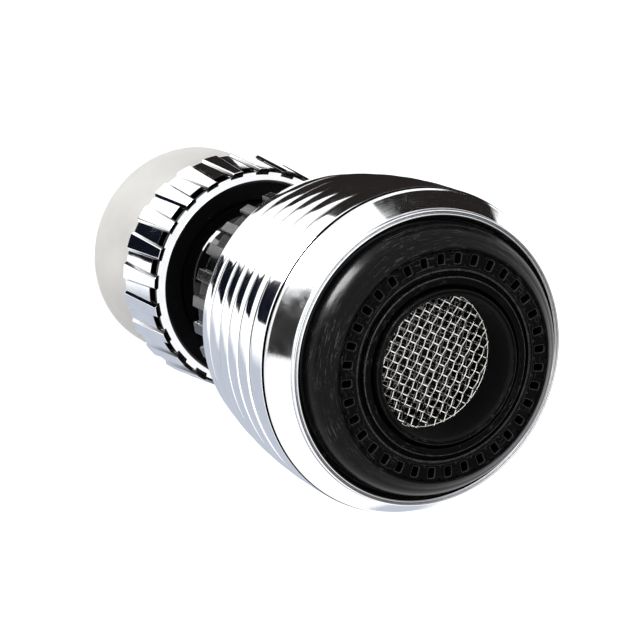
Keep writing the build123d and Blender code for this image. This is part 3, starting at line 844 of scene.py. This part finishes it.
@dataclass
class ToothedRing:
    """Charcoal ring with square teeth, between the ball and the bell."""

    palette: Palette
    low: float = 34.8
    top: float = 46.0
    tip: float = 15.2
    root: float = 14.4
    bore: float = 8.05
    count: int = 26
    phase: float = 2.67
    width: float = 6.1
    flank: float = 0.9

    def build(self) -> None:
        """Builds the ring: its outer radius is root + (tip - root) w(a), with w the tooth wave."""
        angles = pulse_angles(self.count, self.phase, self.width, self.flank)
        w = pulse(angles, self.count, self.phase, self.width, self.flank)
        loops = [
            rounded_loop([
                (self.bore, self.low, 0.1), (r, self.low, cut), (r, self.top, 0.1), (self.bore, self.top, 0.1),
            ], steps=6)
            for r, cut in ((self.root, 0.5), (self.tip, 0.28))
        ]
        grid = (1 - w)[None, :, None] * turned(loops[0], angles) + w[None, :, None] * turned(loops[1], angles)
        shell = Grids()
        shell.shell(grid)
        obj = shell.build("toothed_ring_skin")
        # Painted highlight and shade: the edge attribute makes the tooth flanks and the rear chamfer pale, partly as
        # rubbed edges and partly as a highlight, and the recess attribute paints the roots between the teeth black as
        # shade.
        near = 4 * w * (1 - w)
        outside = step_up(np.hypot(grid[..., 0], grid[..., 1]), self.root, self.tip)
        chamfer = 1 - step_up(np.abs(grid[..., 2] - self.low), 0.05, 0.45)
        paint(obj, "edge", np.clip(outside * (0.3 + 0.7 * near[None]) * (near[None] + chamfer), 0, 1))
        paint(obj, "recess", 1 - step_up(w, 0.0, 0.6)[None] + 0 * outside)
        dress(obj, self.palette[Coat.CHARCOAL], Body.HEAD, "charcoal_satin", "knurled_ring")


@dataclass
class Bell:
    """Chrome bell with turned bands."""

    palette: Palette
    base: float = 45.0
    top: float = 67.5
    rim: float = 18.1
    shoulder: float = 18.55
    mouth: float = 20.93
    rim_round: float = 0.5
    power: float = 2.2
    grooves: tuple[float, ...] = (48.3, 52.85, 56.37, 59.89, 63.41)
    groove_depth: float = 0.35
    roll: float = 0.25
    recess: float = 16.4
    recess_top: float = 46.0
    neck: float = 8.05
    shelf: float = 18.6
    sleeve_bore: float = 19.3
    step: float = 59.6
    plate_base: float = 56.4
    cavity: float = 17.2
    cavity_base: float = 48.2
    boss: float = 10.6
    boss_top: float = 51.2
    port: float = 5.4
    neck_top: float = 49.5

    def radius(self, z: np.ndarray) -> np.ndarray:
        """Outer radius: mouth - (mouth - shoulder) ((top - z) / (top - shoulder height)) ^ power."""
        start = self.base + self.rim_round
        share = np.clip((self.top - z) / (self.top - start), 0, 1)
        return self.mouth - (self.mouth - self.shoulder) * share**self.power

    def bands(self) -> np.ndarray:
        """Outer outline from the rim to the mouth.

        Between two grooves the radius is R(z) - depth * |2u - 1| ^ 3.2, with u
        the share of the band, so each band is nearly flat with a rolled edge. The
        last band ends in the mouth's roll, mouth - 0.06 t^2 over t from 0 to 1.
        """
        start = self.base + self.rim_round
        edges = [start, *self.grooves, self.top - self.roll]
        rows = []
        for i, (a, b) in enumerate(zip(edges[:-1], edges[1:])):
            u = (1 - np.cos(np.pi * np.linspace(0, 1, 25)[:-1])) / 2
            z = a + (b - a) * u
            left, right = float(i > 0), float(i < len(edges) - 2)
            dip = np.where(u < 0.5, left, right) * np.abs(2 * u - 1) ** 3.2
            rows.append(np.stack([self.radius(z) - self.groove_depth * dip, z], 1))
        t = np.linspace(0, 1, 7)
        rows.append(np.stack([self.mouth - 0.06 * t**2, self.top - self.roll + self.roll * t], 1))
        return np.vstack(rows)

    def build(self) -> None:
        """Builds the bell as one turned outline with its inner shelves."""
        lip = bow(
            (self.rim, self.base), (self.shoulder, self.base + 0.15 * self.rim_round),
            (self.shoulder, self.base + self.rim_round), np.linspace(0, 1, 7)[:-1],
        )
        inside = rounded_loop([
            (self.mouth - 0.08, self.top, 0), (self.sleeve_bore, self.top, 0.15), (self.sleeve_bore, self.step, 0),
            (self.shelf, self.step, 0.05), (self.shelf, self.plate_base, 0.05), (self.cavity, self.plate_base, 0.1),
            (self.cavity - 0.35, self.cavity_base, 0.3), (self.boss, self.cavity_base, 0.3),
            (self.boss, self.boss_top, 0.2), (self.port, self.boss_top, 0.2), (self.port, self.neck_top, 0.05),
            (self.neck, self.neck_top, 0.05), (self.neck, self.recess_top, 0.05),
            (self.recess, self.recess_top, 0.3), (self.recess, self.base, 0.3),
        ])
        loop = np.vstack([lip, self.bands(), inside])
        # Painted shade: the recess attribute turns the grooves between the bands, the mouth's top edge and the rear
        # recess round the neck near black.
        outside = loop[:, 0] > self.rim - 0.3
        near = np.abs(loop[:, 1][:, None] - np.array(self.grooves)).min(1)
        deep = np.maximum(outside * (1 - step_up(near, 0.05, 0.13)), step_up(loop[:, 1], self.top - 0.06, self.top))
        deep = np.maximum(deep, (loop[:, 0] < self.rim - 0.2) * (loop[:, 1] < self.recess_top + 0.3))
        obj = lathe("bell_skin", loop, 360, deep)
        dress(obj, self.palette[Coat.CHROME], Body.HEAD, "chrome_plate", "bell_housing")


@dataclass
class ModeRing:
    """Chrome ring that turns on the bell, with a cone and a double bead round the face."""

    palette: Palette
    base: float = 67.8
    mouth: float = 20.93
    drop: float = 0.38
    edge: float = 68.3
    front: float = 71.55
    cone: float = 18.85
    bead: float = 0.44
    bead_rise: float = 0.34
    bore: float = 17.35
    gap: float = 0.6
    gap_depth: float = 1.0
    sleeve: float = 19.24
    sleeve_base: float = 59.9
    snap: float = 61.4
    slot_low: float = 63.3
    slot_top: float = 65.1

    def build(self) -> None:
        """Builds the ring. Its bead is two half rounds side by side, r = c + q cos t, z = z0 + h sin t."""
        q = self.bead / 2
        mid = self.bore + self.gap + self.bead
        snap, slot = self.sleeve + 0.27, self.sleeve - 1.25
        t = np.linspace(0, np.pi, 13)
        outer, inner = (
            np.stack([c + q * np.cos(t), self.front + 0.1 + self.bead_rise * np.sin(t)], 1) for c in (mid + q, mid - q)
        )
        below = rounded_loop([
            (self.bore, self.front - self.gap_depth, 0.05), (self.bore, self.sleeve_base, 0.1),
            (self.sleeve, self.sleeve_base, 0.15), (self.sleeve, self.snap, 0.05), (snap, self.snap + 0.4, 0.05),
            (snap, self.snap + 0.8, 0.05), (self.sleeve, self.snap + 1.2, 0.05), (self.sleeve, self.slot_low, 0),
            (slot, self.slot_low, 0), (slot, self.slot_top, 0), (self.sleeve, self.slot_top, 0),
            (self.sleeve, self.base, 0.1), (self.mouth - 0.6 * self.drop, self.base, 0.04),
            (self.mouth - 0.35 * self.drop, self.base + 0.13, 0.06),
            (self.mouth - self.drop + 0.01, self.edge - 0.03, 0.05),
            (self.cone + 0.05, self.front - 0.12, 0.1), (mid + 2 * q, self.front - 0.1, 0.02),
        ])
        wall = self.bore + self.gap
        tail = [(wall, self.front - 0.1), (wall, self.front - self.gap_depth)]
        loop = np.vstack([below, outer, inner, tail])
        # Painted shade: the recess attribute turns the ring's sleeve below its base, inside the bell, near black.
        obj = lathe("mode_ring_skin", loop, 360, 1 - step_up(loop[:, 1], self.base + 0.05, self.base + 0.2))
        dress(obj, self.palette[Coat.CHROME], Body.FACE, "chrome_plate", "mode_ring")


@dataclass
class SprayFace:
    """Black spray plate with its bevel, square holes, groove and hub ring."""

    palette: Palette
    low: float = 61.35
    skirt: float = 17.3
    wall: float = 1.7
    bevel_base: float = 72.4
    bevel_in: float = 15.75
    bevel_top: float = 75.0
    bulge: tuple[float, float] = (0.55, 0.4)
    rim: tuple[tuple[float, float], ...] = ((15.68, 75.08), (14.95, 75.72), (14.85, 75.78), (14.72, 75.8))
    top: float = 75.8
    plate: float = 2.2
    groove_out: float = 12.0
    groove_in: float = 11.3
    groove_depth: float = 0.9
    hub_rise: float = 0.35
    hub_bore: float = 10.35
    circle: float = 13.5
    hole_w: float = 0.9
    hole_l: float = 1.3
    holes: int = 36
    phase: float = 0.74
    band: float = 1.05
    side: int = 12
    squareness: float = 0.42
    lead: float = 0.12
    hole_rim: tuple[tuple[float, float], ...] = ((0.06, 0.02), (0.02, 0.07), (0.0, 0.14))

    def hole_edge(self, share: np.ndarray, grow: float) -> np.ndarray:
        """Rounded square (x radial, y across) round the hole's middle.

        With c = cos and s = sin of the walk, the point is (a sgn(c) |c|^q, b sgn(s) |s|^q).

        Args:
            share: Position round the hole in turns.
            grow: Added to both half sizes.

        Returns:
            Array of shape (points, 2).
        """
        c, s = np.cos(2 * np.pi * share), np.sin(2 * np.pi * share)
        x = (self.hole_l / 2 + grow) * np.sign(c) * np.abs(c) ** self.squareness
        y = (self.hole_w / 2 + grow) * np.sign(s) * np.abs(s) ** self.squareness
        return np.stack([x, y], 1)

    def build(self) -> None:
        """Builds the face: turned outlines inside and outside the hole band, and one patch round each hole.

        A patch blends the hole's edge into the sector's border,
        P(u, v) = (1 - v) hole(u) + v border(u), and the hole's wall runs down from it.
        """
        angles = np.radians(self.phase + 360 / self.holes * (np.arange(self.holes * self.side) / self.side - 0.5))
        r_in, r_out = self.circle - self.band, self.circle + self.band
        a, b = np.array([self.skirt, self.bevel_base]), np.array([self.bevel_in, self.bevel_top])
        curve = bow(a, (a + b) / 2 + self.bulge, b, np.linspace(0, 1, 14))
        below = [[self.skirt, self.low + 0.1], [self.skirt, self.bevel_base - 0.05]]
        outer = np.vstack([below, curve, self.rim, [r_out, self.top]])
        d, h = self.groove_depth, self.top + self.hub_rise
        floor = self.top - self.plate
        inner = np.vstack([[r_in, self.top], rounded_loop([
            (self.groove_out, self.top, 0.1), (self.groove_out, self.top - d, 0.05),
            (self.groove_in, self.top - d, 0.05), (self.groove_in, h, 0.14), (self.hub_bore, h, 0.14),
            (self.hub_bore, self.low, 0.05), (self.groove_in, self.low, 0.05), (self.groove_in, floor, 0.1),
        ])[1:], [r_in, floor]])
        wall = self.skirt - self.wall
        under = np.vstack([[r_out, floor], rounded_loop([
            (wall, floor, 0.1), (wall, self.low, 0.05), (self.skirt, self.low, 0.05),
        ])[:-1]])
        shell = Grids()
        for loop in (outer, inner, under):
            shell.add(turned(loop, angles), close_v=True, flip=True)
        self._patches(shell, angles.reshape(self.holes, self.side), r_in, r_out, floor)
        obj = shell.build("spray_face_skin", weld=True)
        # Painted highlight: thin pale rims round the holes, the groove and the hub.
        paint(obj, "edge", self.painted_edge_highlights(obj))
        dress(obj, self.palette[Coat.GLOSS_BLACK], Body.FACE, "gloss_black", "spray_plate")

    def painted_edge_highlights(self, obj: bpy.types.Object) -> np.ndarray:
        """Share of painted highlight at each vertex: the holes' rims, the groove's edge and the hub's edge.

        Args:
            obj: The built face.

        Returns:
            One value between 0 and 1 for each vertex.
        """
        co = np.empty(3 * len(obj.data.vertices))
        obj.data.vertices.foreach_get("co", co)
        x, y, z = co.reshape(-1, 3).T / MM
        r = np.hypot(x, y)
        rims = (np.abs(r - self.circle) < self.band - 0.1) & (z < self.top - 0.01) & (z > self.top - 0.1)
        groove = (np.abs(r - self.groove_out) < 0.12) & (z > self.top - 0.12) & (z < self.top + 0.01)
        hub = (np.abs(r - self.groove_in) < 0.1) & (z > self.top + self.hub_rise - 0.16)
        return 0.45 * rims + 0.6 * (groove | hub)

    def _patches(self, shell: Grids, sectors: np.ndarray, r_in: float, r_out: float, floor: float) -> None:
        """Adds the hole band's top, its underside and the hole walls.

        Args:
            shell: The grids that the patches join.
            sectors: Angles of each sector's columns.
            r_in: Inner radius of the band.
            r_out: Outer radius of the band.
            floor: Height of the plate's underside.
        """
        pitch = 2 * np.pi / self.holes
        m = self.side
        for row in sectors:
            a0, centre = row[0], row[0] + pitch / 2
            cols = a0 + pitch * np.arange(m + 1) / m
            rad = np.linspace(r_out, r_in, 5)
            border = np.concatenate([
                np.stack([np.full(m, r_out), cols[:-1]], 1),
                np.stack([rad[:-1], np.full(4, cols[-1])], 1),
                np.stack([np.full(m, r_in), cols[::-1][:-1]], 1),
                np.stack([rad[::-1][:-1], np.full(4, cols[0])], 1),
            ])
            bx = border[:, 0] * np.cos(border[:, 1] - centre) - self.circle
            by = border[:, 0] * np.sin(border[:, 1] - centre)
            share = np.arctan2(by / self.hole_w, bx / self.hole_l) / (2 * np.pi)
            rings = [np.stack([bx, by], 1)] + [
                (1 - v) * self.hole_edge(share, self.lead) + v * np.stack([bx, by], 1) for v in (0.66, 0.33)
            ]
            depth = [0.0, 0.0, 0.0]
            for grow, drop in ((self.lead, 0.0), *self.hole_rim, (0.0, 0.6), (0.0, self.plate)):
                rings.append(self.hole_edge(share, grow))
                depth.append(drop)
            for v in (0.5, 1.0):
                rings.append((1 - v) * self.hole_edge(share, 0.0) + v * np.stack([bx, by], 1))
                depth.append(self.plate)
            x, y = np.array([g[:, 0] for g in rings]), np.array([g[:, 1] for g in rings])
            z = self.top - np.array(depth)[:, None] + 0 * x
            r = x + self.circle
            c, s = math.cos(centre), math.sin(centre)
            shell.add(np.stack([r * c - y * s, r * s + y * c, z], -1), close_v=True)


@dataclass
class AeratorCup:
    """Black cup in the hub."""

    palette: Palette
    low: float = 62.55
    outer: float = 10.3
    rim_low: float = 74.05
    rim: float = 9.83
    top: float = 76.65
    mouth: float = 8.85
    bore: float = 9.3
    screen_top: float = 71.3

    def build(self) -> None:
        """Builds the cup as one turned outline."""
        loop = rounded_loop([
            (self.bore, self.low, 0.1), (self.outer, self.low, 0.15), (self.outer, self.rim_low, 0.15),
            (self.rim, self.rim_low, 0.1), (self.rim, self.top, 0.3), (self.mouth + 0.4, self.top, 0.07),
            (self.mouth, self.top - 0.4, 0.07), (self.mouth, self.screen_top, 0.05), (self.bore, self.screen_top, 0.05),
        ], steps=7)
        inside = (loop[:, 0] < self.mouth + 0.25) & (loop[:, 1] < self.top - 0.3)
        obj = lathe("aerator_cup_skin", loop, 216, inside.astype(float))
        dress(obj, self.palette[Coat.GLOSS_BLACK], Body.FACE, "gloss_black", "aerator_cup")


@dataclass
class WovenScreen:
    """A plain weave of round wires in its hoop, flat across the cup's bore."""

    palette: Palette
    name: str = "outlet_weave"
    node: str = "outlet_screen"
    coat: Coat = Coat.WIRE
    z0: float = 70.98
    pitch: float = 1.05
    wire: float = 0.125
    turn: float = 0.0
    reach: float = 9.05
    hoop_in: float = 8.75
    hoop_out: float = 9.24
    hoop_half: float = 0.17

    def build(self) -> None:
        """Builds the weave.

        A wire along x at y0 has its middle at z = z0 + h cos(pi x / p + pi k), with p the
        weave's pitch, k the wire's number and h about the wire's radius, and the crossing
        wires run half a wave against it. Each wire is a circle carried along that line.

        """
        shell = Grids()
        ring = np.linspace(0, 2 * np.pi, 7)[:-1]
        offset = self.wire * np.stack([np.cos(ring), np.sin(ring)], 1)
        c, s = math.cos(math.radians(self.turn)), math.sin(math.radians(self.turn))
        last = int(self.reach / self.pitch)
        for k in range(-last, last + 1):
            y0 = k * self.pitch
            half = math.sqrt(max(self.reach**2 - y0**2, 0.1))
            x = np.linspace(-half, half, max(int(half * 2 / (self.pitch / 8)), 8))
            for side in (0, 1):
                z = self.z0 + self.wire * 0.95 * np.cos(np.pi * x / self.pitch + np.pi * (k + side))
                px = x[:, None] + 0 * ring
                py = y0 + offset[:, 0][None] + 0 * px
                pz = z[:, None] + offset[:, 1][None]
                if side:
                    px, py = py, px
                shell.add(np.stack([px * c - py * s, px * s + py * c, pz], -1), close_v=True, flip=not side)
        low, high = self.z0 - self.hoop_half, self.z0 + self.hoop_half
        corners = ((self.hoop_in, low), (self.hoop_out, low), (self.hoop_out, high), (self.hoop_in, high))
        shell.shell(turned(rounded_loop([(*corner, 0.08) for corner in corners], steps=3), even_angles(96)))
        dress(shell.build(self.name), self.palette[self.coat], Body.FACE, "stainless", self.node)


@dataclass
class InnerScreen(WovenScreen):
    """The finer and duller screen under the outlet screen."""

    name: str = "inner_weave"
    node: str = "inner_screen"
    coat: Coat = Coat.DULL_WIRE
    z0: float = 69.7
    pitch: float = 0.84
    wire: float = 0.1
    turn: float = 9.0


class InnerPieces:
    """The solids that show little or not at all, and keep their own meshes."""

    COATS = {
        Coat.RUBBER: (
            "inlet_washer", "seat_o_ring", "neck_o_ring", "diverter_seal",
            "housing_o_ring", "plate_o_ring", "cup_o_ring",
        ),
        Coat.ACETAL: ("ball_seat", "diverter_plate", "selector_disc"),
        Coat.WIRE: ("inlet_strainer",),
        Coat.MATTE_BLACK: ("screen_ring", "mixer_cone", "flow_disc"),
    }

    def __init__(self, palette: Palette, nodes: dict[str, bpy.types.Object]) -> None:
        """Gives each solid its finish."""
        for coat, names in self.COATS.items():
            for name in names:
                mesh = nodes[name].data
                mesh.materials.clear()
                mesh.materials.append(palette[coat])
                LOG.info("%s: %s", name, coat.value.name)


@dataclass(frozen=True)
class Card:
    """A flat card round the object, dark, pale or bright, which only clear reflections see.

    Each row gives the card's distance from the axis, its height, and its two
    sides as angles from -Y towards +X, in millimetres and degrees.
    """

    name: str
    rows: tuple[tuple[float, float, float, float], ...]
    colour: Colour
    soft: float = 0.03
    ragged: float = 0.1
    grain: float = 260.0

    def build(self) -> None:
        """Builds the card: P(u, v) = (rho(v) sin psi, -rho(v) cos psi, z(v)), psi between the row's sides."""
        rows = np.array(self.rows, float)
        v = np.linspace(0, len(rows) - 1, 8 * (len(rows) - 1) + 1)
        rho, z, left, right = (np.interp(v, np.arange(len(rows)), rows[:, i])[:, None] for i in range(4))
        u = np.linspace(0, 1, 33)[None]
        psi = np.radians(left + (right - left) * u)
        grids = Grids()
        grids.add(np.stack([rho * np.sin(psi), -rho * np.cos(psi), z + 0 * psi], -1))
        obj = grids.build(self.name)
        paint(obj, "reach", np.minimum(u, 1 - u) + 0 * v[:, None])
        obj.data.materials.append(self._material())
        obj.visible_camera = obj.visible_diffuse = obj.visible_shadow = False
        obj.visible_transmission = obj.visible_volume_scatter = False

    def _material(self) -> Material:
        """The card's colour, fading out at the two sides over a ragged border."""
        mat, n = new_material(self.name)
        noise = n.noise(n.place(), self.grain, 6.0, 0.75)
        edge = n.add(n.attribute("reach"), n.mul(n.math("SUBTRACT", noise, 0.5), self.ragged))
        mask = n.remap(edge, 0.0, self.soft)
        glow = n.new("ShaderNodeEmission", {"Color": (*self.colour, 1), "Strength": 1.0}).outputs[0]
        clear = n.new("ShaderNodeBsdfTransparent").outputs[0]
        both = n.new("ShaderNodeMixShader", {0: mask, 1: clear, 2: glow}).outputs[0]
        n.link(both, mat.node_tree.nodes["Material Output"], "Surface")
        return mat


@dataclass(frozen=True)
class Softbox:
    """A square area lamp that faces the object."""

    name: str
    place: Vector
    size: float
    power: float
    target: Vector = (0.0, 0.0, 0.045)

    def build(self) -> None:
        """Builds the lamp, with its face turned to the target."""
        data = bpy.data.lights.new(self.name, "AREA")
        data.energy, data.size, data.shape = self.power, self.size, "SQUARE"
        back = np.subtract(self.place, self.target)
        back /= np.linalg.norm(back)
        side = np.cross([0.0, 0.0, 1.0] if abs(back[2]) < 0.95 else [0.0, 1.0, 0.0], back)
        side /= np.linalg.norm(side)
        stand(bpy.data.objects.new(self.name, data), side, np.cross(back, side), back, self.place)


def stand(obj: bpy.types.Object, right: Vector, up: Vector, back: Vector, place: Vector) -> None:
    """Puts a lamp or a camera in the scene.

    Args:
        obj: The lamp or camera.
        right: Direction of its X.
        up: Direction of its Y.
        back: Direction of its Z, away from what it faces.
        place: Its position in metres.
    """
    obj.matrix_world = Matrix([*zip(right, up, back, place), (0, 0, 0, 1)])
    bpy.context.scene.collection.objects.link(obj)


@dataclass
class Studio:
    """White floor, soft lights, cards, and the camera at the photograph's angle."""

    floor_colour: float = 0.8
    floor_white: float = 0.7
    floor_mirrored: float = 0.72
    even_light: float = 0.5
    sky_bright: float = 1.05
    sky_dark: float = 0.08
    dark_side: Vector = (0.0, 0.5, 0.866)
    dark_from: float = 0.7
    dark_full: float = 0.93
    lens: float = 168.75
    camera_right: Vector = (-0.4190794, 0.7864737, 0.4536866)
    camera_up: Vector = (-0.9079433, -0.3611517, -0.2126227)
    camera_back: Vector = (-0.0033725, -0.5010275, 0.8654248)
    camera_place: Vector = (0.0, -0.198124, 0.385608)
    lamps: tuple[Softbox, ...] = (
        Softbox("side_softbox", (-0.129, -0.483, 0.07), 0.16, 1.0),
        Softbox("top_softbox", (-0.1, -0.05, 0.7), 0.5, 0.8),
    )
    cards: tuple[Card, ...] = (
        Card("front_card", ((400, 0, -17, 34), (400, 105, -17, 34)), (0.03, 0.029, 0.028), 0.02, 0.3, 60.0),
        Card("front_floor_card", (
            (19, 0.4, -8, 20), (26, 0.4, -5, 21), (34, 0.4, -4, 22),
            (45, 0.4, -2, 22), (57, 0.4, -5, 22), (70, 0.4, -6, 22),
        ), (0.005, 0.006, 0.012), ragged=0.2, grain=500.0),
        Card("side_card", (
            (19, 0.5, -80, -49), (25, 0.5, -80, -54), (27.5, 0.5, -140, -55), (34, 0.5, -140, -54.5),
            (42, 0.5, -140, -53), (56, 0.5, -140, -54), (75, 0.5, -140, -56), (95, 0.5, -136, -57),
            (122, 0.5, -127, -59), (160, 0.5, -125, -61), (250, 0.5, -122, -64), (350, 0.5, -118, -66),
        ), (0.02, 0.017, 0.016), 0.015, 0.08),
        Card("pale_card", (
            (17, 0.3, 36, 160), (30, 0.3, 37, 160), (60, 0.3, 38, 160), (110, 0.3, 38, 160),
        ), (0.56, 0.6, 0.68), 0.08, 0.05),
        Card("glint_card", (
            (75, 0.6, -29, -7), (150, 0.6, -32, -5), (450, 0.6, -34, -4), (2000, 0.6, -34, -4),
        ), (50.0, 50.0, 50.0), 0.01),
    )

    def build(self) -> None:
        """Builds the floor, the world, the cards, the lamps and the camera."""
        self._floor()
        self._world()
        for item in (*self.cards, *self.lamps):
            item.build()
        self._camera()

    def _floor(self) -> None:
        """A large plane that glows, so that the camera and clear reflections see it white."""
        grid = Grids()
        s = np.linspace(-4000, 4000, 3)
        x, y = np.meshgrid(s, s, indexing="ij")
        grid.add(np.stack([x, y, 0 * x - 0.02], -1))
        obj = grid.build("studio_floor")
        mat, n = new_material("studio_floor")
        bsdf = mat.node_tree.nodes["Principled BSDF"]
        bsdf.inputs["Base Color"].default_value = (self.floor_colour,) * 3 + (1,)
        bsdf.inputs["Roughness"].default_value = 0.9
        bsdf.inputs["Specular IOR Level"].default_value = 0.1
        path = n.new("ShaderNodeLightPath").outputs
        seen = n.mul(path["Is Camera Ray"], self.floor_white)
        mirrored = n.mul(path["Is Glossy Ray"], self.floor_mirrored)
        bsdf.inputs["Emission Color"].default_value = (1, 1, 1, 1)
        n.link(n.add(seen, mirrored), bsdf, "Emission Strength")
        obj.data.materials.append(mat)

    def _world(self) -> None:
        """Even light with one dark side for clear reflections, seen as white by the camera and by glass."""
        world = bpy.data.worlds.new("studio")
        bpy.context.scene.world = world
        world.use_nodes = True
        n = Nodes(world.node_tree)
        background = world.node_tree.nodes["Background"]
        background.inputs["Color"].default_value = (1, 1, 1, 1)
        path = n.new("ShaderNodeLightPath").outputs
        seen = n.math("MAXIMUM", path["Is Camera Ray"], path["Is Transmission Ray"])
        coords = n.new("ShaderNodeTexCoord").outputs["Generated"]
        toward = n.new("ShaderNodeVectorMath", {0: coords, 1: self.dark_side}, operation="DOT_PRODUCT").outputs["Value"]
        sky = n.remap(toward, self.dark_from, self.dark_full, self.sky_bright, self.sky_dark)
        soft = n.add(n.mul(n.math("SUBTRACT", sky, self.even_light), path["Is Glossy Ray"]), self.even_light)
        n.link(n.math("MAXIMUM", seen, soft), background, "Strength")

    def _camera(self) -> None:
        """Sets the camera where the photograph was taken from."""
        data = bpy.data.cameras.new("camera")
        data.sensor_width, data.lens = 36.0, self.lens
        data.clip_start, data.clip_end = 0.01, 20.0
        cam = bpy.data.objects.new("camera", data)
        stand(cam, self.camera_right, self.camera_up, self.camera_back, self.camera_place)
        bpy.context.scene.camera = cam


def main() -> None:
    """Loads the frame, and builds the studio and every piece."""
    logging.basicConfig(level=logging.INFO, format="%(name)s %(message)s")
    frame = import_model()
    bpy.context.scene.view_settings.view_transform = "Standard"
    Studio().build()
    fx = Effects()
    palette = {coat: coat.value.make(fx) for coat in Coat}
    InnerPieces(palette, frame["nodes"])
    outer = (InletConnector, CrownCollar, BallSwivel, ToothedRing, Bell, ModeRing, SprayFace)
    for piece in (*outer, AeratorCup, WovenScreen, InnerScreen):
        piece(palette).build()


if __name__ == "__main__":
    main()
